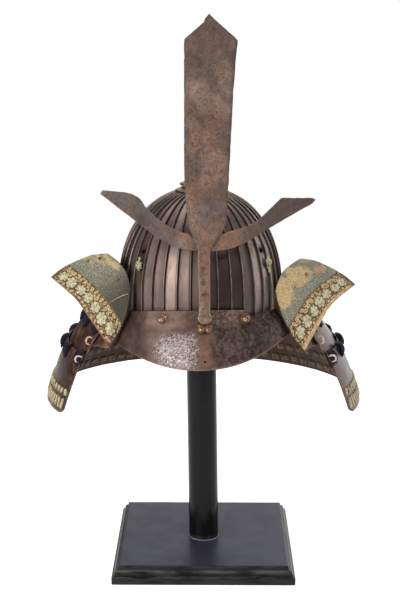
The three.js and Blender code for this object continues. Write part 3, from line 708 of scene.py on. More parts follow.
def turnback_border_leather():
    """Brown and gold ground under pale blossoms, gilt leaves and a ribbed tan strip."""
    f = Finish("turnback_border_leather", specular=0.25)
    fleck = f.noise(2.2, 5, 0.78)
    f.base = f.ramp(fleck, (0.38, (0.045, 0.022, 0.013)), (0.49, (0.150, 0.088, 0.040)),
                    (0.60, (0.44, 0.31, 0.145)))
    leaf = f.ramp(f.noise(2.0, 4, 0.75, seed=3), (0.36, (0.24, 0.145, 0.060)),
                  (0.52, (0.45, 0.32, 0.145)), (0.66, (0.66, 0.53, 0.32)))
    bloom = f.ramp(f.noise(3.0, 5, 0.75, seed=5), (0.36, (0.17, 0.155, 0.080)),
                   (0.5, (0.38, 0.36, 0.215)), (0.66, (0.58, 0.54, 0.39)))
    strip = f.ramp(f.noise(3.0, 5, 0.7, seed=7), (0.36, (0.26, 0.150, 0.070)), (0.62, (0.56, 0.38, 0.21)))
    for key, colour in (("outline", (0.024, 0.011, 0.007)), ("leaf", leaf), ("bloom", bloom),
                        ("strip", strip)):
        f.over(colour, f.value(key))
    f.over((0.33, 0.140, 0.098), f.value("pink"), 0.85)
    f.over((0.040, 0.017, 0.014), f.value("shade"))
    f.over((0.070, 0.042, 0.020), f.patch(4, 0.52, 0.62, rough=0.8, seed=9), 0.7)
    f.bumps((f.noise(1.2, 3, 0.7), 0.22), (fleck, 0.25))
    return f.done(f.between(f.noise(6), 0.6, 0.8))


def navy_braid():
    f = Finish("navy_braid", specular=0.12)
    f.shader.inputs["Sheen Weight"].default_value = 0.04
    f.shader.inputs["Sheen Roughness"].default_value = 0.5
    f.base = f.ramp(f.noise(3, 4, 0.6), (0.3, (0.0030, 0.0030, 0.0075)), (0.7, (0.0095, 0.0100, 0.027)))
    f.over((0.0018, 0.0018, 0.0035), f.value("groove"), 0.85)
    f.over((0.040, 0.040, 0.060), f.patch(6, 0.64, 0.76, seed=3), 0.4)
    f.bumps((f.noise(0.8, 2), 0.18))
    return f.done(f.between(f.noise(5), 0.62, 0.85))


def cream_thread(name="cream_thread", dark=(0.120, 0.095, 0.045), middle=(0.30, 0.26, 0.150),
                 pale=(0.50, 0.45, 0.30)):
    f = Finish(name, specular=0.25)
    f.base = f.ramp(f.noise(3.5, 5, 0.7), (0.32, dark), (0.5, middle), (0.7, pale))
    f.over((0.07, 0.042, 0.020), f.value("groove"), 0.8)
    f.bumps((f.noise(0.9, 3, 0.6), 0.2))
    return f.done(f.between(f.noise(5), 0.62, 0.85))


# ---- stand ---------------------------------------------------------------------------------


def square_ring(half, corner, height):
    """A rounded square, with close points at its corners."""
    corner = max(min(corner, half * 0.5), 0.05)
    points = []

    def corner_centre(bearing):
        return [(half - corner) * math.copysign(1, part(bearing + math.pi / 4))
                for part in (math.cos, math.sin)]

    for quarter in range(4):
        turn = quarter * math.pi / 2
        for share in np.linspace(0, 1, 6):
            bend = turn + share * math.pi / 2
            cx, cy = corner_centre(turn)
            points.append((cx + corner * math.cos(bend), cy + corner * math.sin(bend), height))
        start = np.array(points[-1])
        after = turn + math.pi / 2
        cx, cy = corner_centre(after)
        end = np.array((cx + corner * math.cos(after), cy + corner * math.sin(after), height))
        for share in np.linspace(0, 1, 22)[1:-1]:
            points.append(tuple(start + (end - start) * share))
    return np.array(points)


def stand_base(finish):
    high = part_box("stand_base")[1]
    half, height = high.x / MM, high.z / MM
    lip = half - 8.3
    profile = [(half - 0.8, 0), (half, 0.8), (half, 9.2), (half - 0.8, 10), (half - 2.4, 11),
               (half - 3.2, 12.6), (half - 3.4, 14.2), (half - 4.2, 15.8), (half - 5.6, 17.2),
               (half - 7.2, 17.9), (lip, 18.6), (lip, height - 1.6), (lip - 0.4, height - 0.5),
               (lip - 1.4, height), (lip - 4, height), (lip - 30, height)]
    wear = [0.1, 0.2, 0.2, 0.6, 0.3, 0.2, 0.25, 0.6, 1.0, 0.5, 0.1, 0.15, 0.5, 0.2, 0, 0]
    rings = np.array([square_ring(h, 1.6 if z < 10.5 else 1.1, z) for h, z in profile])
    across = rings.shape[1]
    rings[..., 2] += 0.15 * grain(rings * (1, 1, 0.2), 30, 3) * (rings[..., 2:3] > 1)[..., 0]
    faces = capped(len(profile), across)
    # painted reflection: lighter on the top and on the moulding's upward steps
    top = [0] * 8 + [0.4, 0.5, 0.3] + [0] * 2 + [0.5, 1, 1]
    form = Form().add(rings, faces, wear=np.repeat(wear, across), top=np.repeat(top, across))
    return make("stand_base_moulded", form, finish, "stand", on_stand, ["stand_base"], crease=40)


def stand_post(finish, dust):
    low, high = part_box("stand_post")
    foot = np.array([0, -8.0, 22.7])
    lean = np.array([HELMET_X, 8.0, BROW_HEIGHT])
    lean /= np.linalg.norm(lean)
    top = (high.z - low.z) / MM - 0.6
    radius = 20.0
    heights = np.concatenate([[0.6, 1.4], np.linspace(6, top - 2, 40), [top - 0.6]])
    profile = [(0, 0.1), (radius - 0.8, 0.1), (radius - 0.2, 0.3)]
    profile += [(radius, h) for h in heights] + [(radius - 0.8, top), (0, top)]
    points, faces = turned(profile, 96)
    around = np.hypot(points[:, 0], points[:, 1])
    points[:, :2] *= (1 + 0.0035 * grain(points * (1, 1, 0.25), 18, 7) * (around > 5))[:, None]
    wear = np.clip(1 - points[:, 2] / 3, 0, 1) * 0.8
    form = Form().add(aimed(points, foot, lean), faces, wear=wear)
    make("stand_post_turned", form, finish, "stand", on_stand, ["stand_post"])
    ring = rounded([(radius + 0.1, 0.05), (radius + 1.0, 0.05), (radius + 0.9, 0.5), (radius + 0.1, 0.9)],
                   0.2, True)
    points, faces = turned(ring, 96, True)
    points[:, 2] += 0.12 * grain(points, 5, 2)
    return make("stand_foot_bead", Form().add(points + foot, faces), dust, "stand", on_stand)


def stand_head(finish):
    low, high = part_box("stand_head")
    centre = ((low.x + high.x) / 2 / MM, (low.y + high.y) / 2 / MM)
    radius, bottom, top = 36.0, low.z / MM, high.z / MM
    profile = [(0, bottom), (radius - 3, bottom), (radius - 0.9, bottom + 0.9), (radius, bottom + 3),
               (radius, top - 5.5), (radius - 0.7, top - 4.2), (radius - 2, top - 3.7), (0, top)]
    profile = rounded(profile[1:-1], 1.0)
    points, faces = turned([(0, bottom), *profile, (radius / 2, top - 1.6), (0, top)], 72)
    return make("stand_head_turned", Form().add(points + (*centre, 0), faces, wear=0.1), finish,
                "stand", on_stand, ["stand_head"])


# ---- bowl ----------------------------------------------------------------------------------


def dome_point(angle, climb, out=0.0):
    """A point on the dome: angle from the front, climb from 0 at the brow to 1 at the apex."""
    lift = np.asarray(climb, float) * math.pi / 2
    across = np.cos(lift) ** (2 / BOWL_POWER)
    rise = np.sin(lift) ** (2 / BOWL_POWER)
    length = np.where(np.cos(angle) > 0, BOWL_FRONT, BOWL_BACK)
    return np.stack([(BOWL_SIDE + out) * across * np.sin(angle),
                     -(length + out) * across * np.cos(angle),
                     (BOWL_HEIGHT + out) * rise + 0 * angle], -1)


def outwards(angle, climb):
    step = dome_point(angle, climb, 1) - dome_point(angle, climb, 0)
    return step / np.linalg.norm(step)


def rib_angle(index):
    even = 2 * math.pi * index / RIBS
    return even + math.radians(1.4) * math.sin(2 * even)


CROWN_CLIMB = math.acos((CROWN_HOLE / BOWL_SIDE) ** (BOWL_POWER / 2)) / (math.pi / 2)
HOLE_CLIMB, HOLE_ANGLE, HOLE_RADIUS = 0.295, math.radians(51.5), 4.0
KNOB_CLIMB = 0.206


def knob_angle(side):
    """The right knob sits a little nearer the front."""
    return math.radians(54 if side > 0 else 50.6)


def bowl(finish):
    # across the rib: (distance from its middle in half-widths, height), then across the plate
    rib = [(-1.5, 0.0), (-1.0, 0.35), (-0.82, 1.5), (-0.72, RIB_HEIGHT - 0.4), (-0.3, RIB_HEIGHT),
           (0.3, RIB_HEIGHT), (0.72, RIB_HEIGHT - 0.4), (0.82, 1.5), (1.0, 0.35), (1.5, 0.0)]
    # groove: grime at the rib's foot, and painted shade lines beside it
    rib_groove = [1, 0.8, 0.3, 0, 0, 0, 0, 0.3, 0.8, 1]
    rib_ridge = [0, 0, 0.3, 0.9, 1, 1, 0.9, 0.3, 0, 0]
    inside = [0.08, 0.28, 0.5, 0.72, 0.92]
    rows = np.linspace(CROWN_CLIMB, 0, 46)
    skirt = np.array([3.0, 7.0, 11.0, BOWL_SKIRT - 0.8, BOWL_SKIRT])
    tones = lattice(np.stack([np.arange(RIBS), np.zeros(RIBS), np.zeros(RIBS)], -1), 21)
    turns = np.arange(RIBS) * 360 / RIBS
    # painted shade: the front plates on the wearer's left are painted darker, as if in shadow
    painted_plate_shade = (0.86 * smooth(turns, -4, 0) * (1 - smooth(turns, 18, 45))
            + 0.12 * smooth(turns, 10, 60) * (turns < 120))
    outer, inner, groove, ridge, tone, dim = [], [], [], [], [], []

    def column(angle, height, index, groove_here=0.0, ridge_here=0):
        for face, out in ((outer, height), (inner, -PLATE)):
            dome = dome_point(angle, rows, out)
            fall = np.array([(*dome[-1, :2], -depth) for depth in skirt])
            face.append(np.concatenate([dome, fall]))
        groove.append(groove_here)
        ridge.append(ridge_here)
        tone.append(tones[index])
        dim.append(painted_plate_shade[index])

    reach = np.maximum(np.cos(rows * math.pi / 2) ** (2 / BOWL_POWER), 0.05) * BOWL_FRONT
    half = np.minimum(RIB_HALF / reach, 0.2 * 2 * math.pi / RIBS)
    for index in range(RIBS):
        here, there = rib_angle(index), rib_angle(index + 1)
        for (share, height), g, r in zip(rib, rib_groove, rib_ridge):
            column(here + share * half, height, index - (share < 0), g, r)
        for share in inside:
            column((here + 1.5 * half) + (there - here - 3 * half) * share,
                   -0.45 * math.sin(math.pi * share), index, 0.12 if share in (0.08, 0.92) else 0.0)
    outer, inner = np.array(outer), np.array(inner)
    uneven = 0.35 * grain(outer, 26, 5)
    outer += outer / np.linalg.norm(outer, axis=-1, keepdims=True) * uneven[..., None]
    # darker round the holes and knobs; on the inside this value is painted shade
    stain = np.zeros(outer.shape[:2])
    for side in (-1, 1):
        hole = dome_point(side * HOLE_ANGLE, HOLE_CLIMB)
        apart = np.linalg.norm(outer - hole, axis=-1)
        stain = np.maximum(stain, spot(apart, 7.0))
        knob = dome_point(side * knob_angle(side), KNOB_CLIMB) + (0, 0, -3)
        stain = np.maximum(stain, 0.85 * spot(np.linalg.norm(outer - knob, axis=-1), 6.0))
    values = dict(groove=groove, ridge=ridge, tone=tone, dim=dim)
    points, faces, values = wall(outer, inner, True, stain=stain,
                                 **{k: np.array(v)[:, None] for k, v in values.items()})
    # painted shade: the whole inside of the bowl is darkened, by both lines below
    values["dim"][:, outer.shape[1]:] = 1.0
    values["stain"][:, outer.shape[1]:] = 0.6
    cutters = []
    for side in (-1, 1):
        out = outwards(side * HOLE_ANGLE, HOLE_CLIMB)
        cutters.append((dome_point(side * HOLE_ANGLE, HOLE_CLIMB) - 12 * out, out, HOLE_RADIUS, 30))
    return make("bowl_ribbed", Form().add(points, faces, **values), finish, "iron",
                nodes=["bowl"], crease=38, cutters=cutters)


def bowl_knob(side, finish, name, node):
    """A twist of cream leather, with its frayed end hanging down the plate."""
    profile = [(0, -0.6), (2.6, -0.4), (4.0, 0.8), (4.5, 2.6), (4.1, 4.6), (2.8, 6.3), (1.2, 7.0), (0, 7.2)]
    points, faces = turned(profile, 36)
    turn = np.arctan2(points[:, 1], points[:, 0])
    lumps = 1 + 0.16 * np.cos(5 * turn + 0.9 * points[:, 2] + side) + 0.28 * grain(points, 2.6, 4 + side)
    points[:, :2] *= lumps[:, None]
    points[:, 2] *= 1 + 0.1 * grain(points, 3, 9)
    out = outwards(side * knob_angle(side), KNOB_CLIMB)
    seat = dome_point(side * knob_angle(side), KNOB_CLIMB, 0.8)
    form = Form().add(aimed(points, seat, out), faces, groove=smooth(-lumps, -0.85, -0.62))
    tails = [(0.0, 12 if side > 0 else 7, 1.5), (-0.04, 6, 1.2), (0.045, 4, 1.3)]
    if side > 0:
        tails.append((0.05, 34, 1.1))
    for turn_by, drop, radius in tails:
        shares = np.linspace(0, 1, 14)
        climbs = KNOB_CLIMB - shares * drop / 175
        path = np.array([dome_point(side * knob_angle(side) + turn_by * s, c, 2.9 + 1.4 * (1 - s) ** 2)
                         for s, c in zip(shares, climbs)])
        path += 0.35 * np.stack([grain(path, 4, 31 + k) for k in range(3)], -1)
        form.add(*tube(path, radius * 0.85, 9, ridges=3, twist=1.4, squash=0.7))
    horn = [dome_point(side * knob_angle(side), KNOB_CLIMB + c, 3.4 + 1.5 * s) for s, c in
            zip(np.linspace(0, 1, 8), np.linspace(0, 0.042, 8))]
    form.add(*tube(horn, 1.5, 9, ridges=3, twist=1.2))
    return make(name, form, finish, "cream", nodes=[node], crease=60)


def waist_band(finish):
    angles = np.radians(np.arange(0, 360, 1.5))
    falls = stations(8, 0.05)
    top, bottom = BOWL_SKIRT + 0.3, BOWL_SKIRT + 0.3 + BAND_DEPTH
    columns = np.array([[(*dome_point(a, 0.0, 0.5)[:2], -blend(top, bottom, s)) for s in falls]
                        for a in angles])
    opened = rim_round(len(falls))[None, :, None]
    out = columns * (1, 1, 0)
    out /= np.linalg.norm(out, axis=-1, keepdims=True)
    bow = (0.25 * grain(columns, 16, 8))[..., None]
    outer, inner = columns + out * (opened * PLATE / 2 + bow), columns - out * (opened * PLATE / 2 - bow)
    # painted shade: the whole band is darkened a little, as if in the bowl's shadow
    points, faces, values = wall(outer, inner, True, dark=0.35, rim=1 - opened[..., 0])
    return make("waist_band_rolled", Form().add(points, faces, **values), finish, "dark_iron",
                nodes=["waist_band"])


def dome_height(x, y, over):
    across = np.hypot(x / BOWL_SIDE, y / np.where(y > 0, BOWL_BACK, BOWL_FRONT))
    return (BOWL_HEIGHT + over) * (1 - across ** BOWL_POWER) ** (1 / BOWL_POWER)


def crown_rosette(finish):
    """Sixteen domed petals over the ends of the ribs."""
    petals, inside, outside = 16, CROWN_HOLE + 1, 30.5
    turns = np.arange(petals * 18) * 2 * math.pi / (petals * 18)
    shares = stations(16, 0.035)
    swing = np.abs(np.cos(turns * petals / 2))
    radius = inside + (outside + 2.4 * np.sqrt(np.clip(swing, 0, 1))[:, None] - inside) * shares[None, :]
    x, y = radius * np.sin(turns)[:, None], radius * np.cos(turns)[:, None]
    petal = swing[:, None] ** 0.6 * np.sin(math.pi * np.clip(shares * 0.93 + 0.07, 0, 1))[None, :] ** 0.7
    base = dome_height(x, y, RIB_HEIGHT + 0.6)
    opened = np.broadcast_to(rim_round(len(shares))[None, :], x.shape)
    lower = np.stack([x, y, base + 0.75 * (1 - opened)], -1)
    upper = np.stack([x, y, base + 1.15 + 0.85 * opened + 1.1 * (petal - 0.55)
                      + 0.12 * grain(np.stack([x, y, base], -1), 4, 3)], -1)
    points, faces, values = wall(upper, lower, True, groove=np.clip(1 - petal * 1.6, 0, 1))
    return make("crown_rosette_petals", Form().add(points, faces, **values), finish, "gilt",
                nodes=["crown_rosette"], crease=50)


def crown_collar(finish):
    foot = BOWL_HEIGHT + RIB_HEIGHT + 2.9
    profile = [(14, 0), (25, 0), (27, 1.6), (25, 3.6), (21, 4.4), (19, 6.4), (20.5, 8), (19, 9.6),
               (16.5, 10.4), (16.5, 13.5), (18, 15), (16.5, 16.4), (14, 16.4), (14, 8)]
    profile = rounded(rounded(profile, 0.9, True), 0.35, True)
    points, faces = turned(profile, 120, True)
    around = np.arctan2(points[:, 1], points[:, 0])
    wide = smooth(np.hypot(points[:, 0], points[:, 1]), 20.5, 26)
    points[:, 2] += 0.3 * wide * np.cos(24 * around)
    points[:, :2] *= (1 + 0.012 * wide * np.cos(24 * around) + 0.003 * grain(points, 5, 6))[:, None]
    groove = (np.clip(1 - np.abs(points[:, 2] - 4.6) / 1.3, 0, 1)
              + np.clip(1 - np.abs(points[:, 2] - 10.6), 0, 1))
    return make("crown_collar_stepped", Form().add(points + (0, 0, foot), faces, groove=groove),
                finish, "copper", nodes=["crown_collar"])


# ---- visor ---------------------------------------------------------------------------------


def visor_columns(degrees, flange_rows, peak_rows):
    """The flange steps down beside the left rivet; on the right it runs on and grows narrower."""
    deg = np.asarray(degrees, float)[:, None]
    turn = np.radians(deg)
    wing = np.clip((deg - 27) / 3, 0, 1)
    narrow = 14 * np.clip((-deg - 27) / 28, 0, 1)
    flare = np.clip((np.abs(deg) - 30) / 25, 0, None)
    standoff = 3 * np.clip(3 * flare, 0, 1)
    x = (VISOR_SIDE + standoff) * np.sin(turn)
    y = -(VISOR_FRONT + standoff) * np.cos(turn)
    flange_top = -2 - 0.23 * (VISOR_FRONT + y)
    soft = 1 - np.sqrt(1 - wing ** 2)
    top = blend(flange_top, -16 + 4.5 * flare, soft)
    bend = blend(flange_top - VISOR_FLANGE + narrow, top - 4, soft)
    tip_x = VISOR_TIP_X * np.sin(turn) / math.sin(math.radians(VISOR_SPREAD))
    share = np.abs(tip_x) / VISOR_TIP_X
    edge = np.stack([tip_x, -VISOR_REACH + 79 * share ** 2.1,
                     -VISOR_DROP + 21 * share ** 2.2 + 0.045 * tip_x], -1)
    upper = np.stack([x + 0 * top, y + 0 * top, top], -1)
    knee = np.stack([x + 0 * top, y + 0 * top, bend], -1)
    bulge = np.stack([0.4 * np.sin(turn), -0.8 + 0 * turn, 0.6 + 0 * turn], -1)
    f, p = flange_rows[None, :, None], peak_rows[None, 1:, None]
    flange = upper + (knee - upper) * f
    peak = knee + (edge - knee) * p + bulge * 16 * p * (1 - p)
    columns = np.concatenate([flange, peak], axis=1)
    knee_row = len(flange_rows) - 1
    reach = np.arange(1, columns.shape[1] - 1) - knee_row
    broad = np.clip((-deg - 6) / 14, 0, 1)
    for step in range(60):
        eased = (columns[:, :-2] + 2 * columns[:, 1:-1] + columns[:, 2:]) / 4
        near = np.where((reach > -5) & (reach < 3), 1.0, 0.0)[None, :] * (1 if step < 4 else broad)
        wide = np.where((reach > -8) & (reach < 9), 1.0, 0.0)[None, :] * broad
        columns[:, 1:-1] += (eased - columns[:, 1:-1]) * np.maximum(near, wide)[..., None]
    return columns


def visor(finish):
    degrees = np.concatenate([[-55.0, -54.85, -54.6], np.arange(-54.2, 26, 0.8),
                              np.arange(26.2, 31, 0.3),
                              np.arange(31.4, 54.4, 0.8), [54.6, 54.85, 55.0]])
    flange_rows = np.array([0, 0.015, 0.05, 0.12, 0.25, 0.4, 0.55, 0.7, 0.82, 0.91, 1.0])
    peak_rows = np.concatenate([np.linspace(0, 0.95, 34), [0.967, 0.981, 0.991, 0.997, 1.0]])
    columns = visor_columns(degrees, flange_rows, peak_rows)
    x, z = columns[..., 0], columns[..., 2]
    rows = columns.shape[1]
    down = np.concatenate([-1 + flange_rows, peak_rows[1:]])[None, :] * np.ones((len(degrees), 1))
    flange = 1 - smooth(down, -0.3, 0.12)
    cloud = grain(columns, 26, 12, 3)
    speckle = spot(np.hypot((x + 32) / 1.5, (z + 52)), 21) + 0.6 * spot(np.hypot(x + 16, (z + 42)), 13)
    speckle = np.clip(speckle * (1 - 0.6 * flange) * (1 + 0.5 * cloud), 0, 1)
    speckle *= 1 - smooth(x + 9 * grain(columns, 9, 17, 3), -24, 3)
    # painted shade: the wearer's left half of the visor is darkened, mottled, and most at its far end
    dark = np.clip(smooth(x + 16 * cloud, 0, 24) * (1 - 0.7 * flange) + 0.85 * smooth(x, 42, 75), 0, 1)
    fleck = (smooth(x, 2, 14) * (0.13 + 0.87 * flange) * (1 - smooth(x, 44, 66))
             + 0.25 * flange * smooth(-x, 0, 20))
    wander = x + 1 + 6 * grain(columns, 8, 18, 3)
    tan = 0.9 * spot(np.hypot(wander / 0.75, (z + 52) / 1.9), 10) * (0.75 + 0.5 * cloud)
    dark *= 1 - 0.8 * np.clip(tan, 0, 1)
    # painted shadow: the visor's end on the wearer's right is darkened under the turnback; the rings round
    # the rivets are stains
    stain = 0.85 * smooth(-x - 0.3 * z, 66, 97) * smooth(cloud, -0.8, 0.1)
    for side in (-1, 1):
        turn = math.radians(RIVET_ANGLE * side)
        apart = np.hypot(x - VISOR_SIDE * math.sin(turn), z + 16)
        stain = np.maximum(stain, 0.5 * spot(apart, 9.0))
    rim = smooth(peak_rows, 0.955, 0.985)
    rim = np.concatenate([np.zeros(len(flange_rows) - 1), rim])[None, :]
    thick = np.ones(rows)
    thick[:3], thick[-6:] = (0.4, 0.75, 0.95), (1.15, 1.35, 1.45, 1.25, 0.85, 0.35)
    opened = np.minimum(thick[None, :], 1.5 * rim_round(len(degrees))[:, None]) * PLATE / 2
    out = normals(columns)
    uneven = 0.55 * grain(columns, 15, 13) * (1 - flange * 0.6) + 0.1 * grain(columns, 3.2, 14)
    uneven += 0.18 * grain(columns, 2.2, 16) * speckle
    outer = columns + out * (opened + uneven)[..., None]
    inner = columns - out * (opened - uneven)[..., None]
    points, faces, values = wall(outer, inner, False, flange=flange * (1 - 0.85 * smooth(x, -12, 8)),
                                 speckle=speckle, dark=dark, fleck=fleck,
                                 tan=np.clip(tan, 0, 1), rim=rim, stain=stain)
    hole = ((-0.7, -VISOR_REACH - 8, -60), (0, 1, 0), 1.5, 20)
    piece = make("visor_hammered", Form().add(points, faces, **values), finish, "dark_iron",
                 nodes=["visor"], crease=45, cutters=[hole])
    return piece


def visor_rivet(side, finish, name, node):
    """A domed head on a thin washer."""
    r = RIVET_RADIUS + (0.8 if side > 0 else 0.4)
    profile = rounded([(0, 0), (r, 0), (r, 0.9), (r - 1.1, 1.5), (r - 1.9, 1.4), (r - 2.1, 2.6),
                       (r - 3.1, 4.0), (r - 4.6, 4.8), (0, 5.0)], 0.5)
    points, faces = turned(profile, 64)
    around = np.hypot(points[:, 0], points[:, 1])
    dent = spot(np.hypot(points[:, 0] - 1.2 * side, points[:, 1] - 0.6), 0.9)
    points[:, 2] += 0.22 * grain(points, 2.4, 5 + side) * (around > 0.1) - 0.5 * dent * (points[:, 2] > 4)
    groove = np.clip(1 - np.abs(around - (r - 2)) / 0.7, 0, 1) * (points[:, 2] > 1)
    angle = side * math.radians(RIVET_ANGLE)
    out = np.array([math.sin(angle) / VISOR_SIDE, -math.cos(angle) / VISOR_FRONT, 0])
    out /= np.linalg.norm(out)
    seat = np.array([VISOR_SIDE * math.sin(angle), -VISOR_FRONT * math.cos(angle), -15.8]) + out * 1.5
    pale = 0.75 * spot(np.hypot(points[:, 0] + 2.6, points[:, 1] + 1.6 * side), 2.2)
    form = Form().add(aimed(points, seat, out), faces, groove=np.clip(groove + 0.8 * dent, 0, 1), pale=pale)
    return make(name, form, finish, "copper", nodes=[node], crease=50)


# ---- crest ---------------------------------------------------------------------------------


def traced(outline):
    """Close points along an outline; an entry of four is a curve's control point and end."""
    line = [np.array(outline[0], float)]
    for step in outline[1:]:
        if len(step) == 4:
            start, control, end = line[-1], np.array(step[:2], float), np.array(step[2:], float)
            for s in np.linspace(0, 1, 13)[1:]:
                line.append((1 - s) ** 2 * start + 2 * s * (1 - s) * control + s * s * end)
        else:
            line.append(np.array(step, float))
    return np.array(line)


def flat_blade(low_side, high_side, stations_at, across, front, thickness, upright, bevel, rough, seed):
    """A thick plate between two edge lines, its faces pitted and its edges chipped.

    low_side and high_side give the edges' places at each station along the plate's length."""
    shares = stations(across, 0.06)
    lean = np.minimum(shares, 1 - shares)
    low, high = low_side(stations_at), high_side(stations_at)
    cross = low[:, None] + (high - low)[:, None] * shares[None, :]
    along = stations_at[:, None] + 0 * cross
    x, z = (cross, along) if upright else (along, cross)
    flat = np.stack([x, 0 * x, z], -1)
    distance = np.minimum(lean[None, :] * (high - low)[:, None],
                          np.minimum(along - along[0], along[-1] - along) + 0.15)
    open_share = 0.28 + 0.72 * np.sqrt(np.clip(1 - (1 - np.clip(distance / bevel, 0, 1)) ** 2, 0, 1))
    chips = 0.55 * np.minimum(grain(flat, 7, seed, 3), 0.25) * (distance < 0.4)
    pull = np.sign(shares - 0.5)[None, :] * chips
    if upright:
        x = x + pull
    else:
        z = z + pull
    half = thickness / 2 * open_share
    pits = rough * (grain(flat, 5, seed + 1, 3) + 0.6 * grain(flat, 19, seed + 2))
    back_pits = rough * grain(flat, 6, seed + 5, 3)
    centre = front + thickness / 2
    outer = np.stack([x, centre - half - pits * open_share, z], -1)
    inner = np.stack([x, centre + half + back_pits * open_share, z], -1)
    wear = 1 - smooth(distance, 0.2, 2.0)
    return outer, inner, wear, distance


def edge_line(points, axis):
    order = np.argsort(points[:, axis], kind="stable")
    keys, others = points[order, axis], points[order, 1 - axis]
    return lambda at: np.interp(at, keys, others)


def crest_blade(finish):
    right = traced([(-0.3, -16), (8.2, -16, 8.4, -7), (6.4, -4), (6, 76.4), (20, 97),
                    (23.5, 103, 26.3, 113.7), (29.7, 188), (33, 261.4), (36.5, 309.1), (38.4, 326.3),
                    (34, 331.2), (10.2, 351.5), (4.6, 357.4)])
    left = traced([(-0.3, -16), (-9, -16, -9, -7), (-7.2, -4), (-8.9, 76.5), (-16.5, 97),
                   (-20, 106, -20.9, 114), (-24.3, 140.2), (-25.3, 187.1), (-24.9, 328.1),
                   (-1.7, 347.8), (-1, 351.5), (4.6, 357.4)])
    heights = np.concatenate([[-16, -15.9, -15.7, -15.3], np.arange(-14.8, 356, 1.25),
                              [356.2, 356.8, 357.15, 357.35]])
    outer, inner, wear, distance = flat_blade(edge_line(left, 1), edge_line(right, 1), heights, 26,
                                              CREST_Y, BLADE_THICKNESS, True, 2.2, 0.26, 40)
    x, z = outer[..., 0], outer[..., 2]
    middle = blend(-1.0, 6.5, np.clip(z / 350, 0, 1))
    ridge = np.exp(-((x - middle) / 5) ** 2) * smooth(z, 95, 130) * (1 - smooth(z, 335, 352))
    outer[..., 1] -= 0.55 * ridge
    tang = 1 - smooth(z, 70, 95)
    end = 1 - smooth(z, 3, 14)
    cloud = grain(outer, 30, 44, 3)
    orange = np.clip(0.95 * np.exp(-((x - middle) / 7) ** 2) * smooth(z, 100, 150)
                     * (0.75 + 0.9 * cloud) + 0.4 * tang * (0.6 + cloud) + 0.3 * smooth(cloud, 0, 0.5), 0, 1)
    blue = np.clip(0.55 * smooth(-cloud, -0.05, 0.4) * (1 - tang), 0, 1)
    stain = np.clip(0.8 * np.exp(-((z + 5.2) / 1.4) ** 2), 0, 1)
    outer[..., 1] -= 0.9 * end * smooth(distance, 0, 5) * (1 - np.exp(-((z + 4) / 2) ** 2) * 0.7)
    dull = np.clip(0.20 + 0.8 * grain(outer, 17, 45, 3) + 0.25 * smooth(z, 260, 330), 0, 0.6) * (1 - tang)
    dull = np.clip(dull + 0.55 * (1 - smooth(distance, 0, 4.5)) * (1 - tang), 0, 0.75)
    rusted = np.clip(0.75 + 0.5 * cloud, 0, 1) * (1 - 0.4 * tang)
    for x0, z0 in TANG_HOLES:
        stain = np.maximum(stain, 0.8 * spot(np.hypot(x - x0, z - z0), 3.2))
    points, faces, values = wall(outer, inner, False, wear=wear * (0.15 + 0.5 * tang), orange=orange,
                                 rusted=rusted, blue=blue * 0.7, dull=dull, stain=stain,
                                 pale=end * (0.35 + 0.65 * wear))
    holes = [((x0, CREST_Y - 6, z0), (0, 1, 0), 1.6, 14) for x0, z0 in TANG_HOLES]
    return make("crest_blade_forged", Form().add(points, faces, **values), finish, "rust",
                nodes=["crest_blade"], crease=50, cutters=holes)


def crest_horns(finish):
    lower = traced([(-125.9, 145.7), (-111, 133.7), (-65.4, 97.8), (-46, 82.5, -28.4, 77.6),
                    (-11.6, 75.6), (8.9, 74.5), (27.7, 77.1), (40, 79.5, 51.9, 86.3), (98.2, 114.3),
                    (129.6, 132), (133.6, 135.4, 134.2, 137.4)])
    upper = traced([(-125.9, 145.9), (-123.7, 150.3), (-94.4, 147.4), (-79, 145, -72.4, 130.6),
                    (-55.9, 113.6), (-36, 99, -19, 95.6), (-12, 90), (17, 92), (27, 98), (46.2, 103.4),
                    (58, 107, 70, 117.4), (92.2, 139.7), (130, 139.4), (134.2, 137.6)])
    places = np.concatenate([[-125.9, -125.8, -125.5, -124.9], np.arange(-124, 133.2, 1.1),
                             [133.5, 133.9, 134.1, 134.2]])
    front = CREST_Y + BLADE_THICKNESS + 0.3
    outer, inner, wear, _ = flat_blade(edge_line(lower, 0), edge_line(upper, 0), places, 18,
                                       front, HORN_THICKNESS, False, 1.6, 0.2, 60)
    x = outer[..., 0]
    cloud = grain(outer, 24, 66, 3)
    root = np.exp(-((np.abs(x) - 26) / 11) ** 2) + 0.7 * np.exp(-((x - 33) / 16) ** 2)
    orange = np.clip(1.2 * root + 0.15 * smooth(x + 40 * cloud, 30, 90) + 0.05, 0, 1)
    blue = np.clip(smooth(-x + 30 * cloud, 18, 50) * 0.85, 0, 1)
    dull = np.clip(0.50 + 0.35 * smooth(x, 55, 105) + 0.5 * cloud, 0, 0.8)
    dull *= 1 - 0.8 * np.clip(root, 0, 1)
    points, faces, values = wall(outer, inner, False, wear=wear * 0.3, orange=orange, blue=blue, dull=dull,
                                 rusted=0.35 * smooth(x, -40, 20))
    return make("crest_horns_forged", Form().add(points, faces, **values), finish, "rust",
                nodes=["crest_horns"], crease=50)


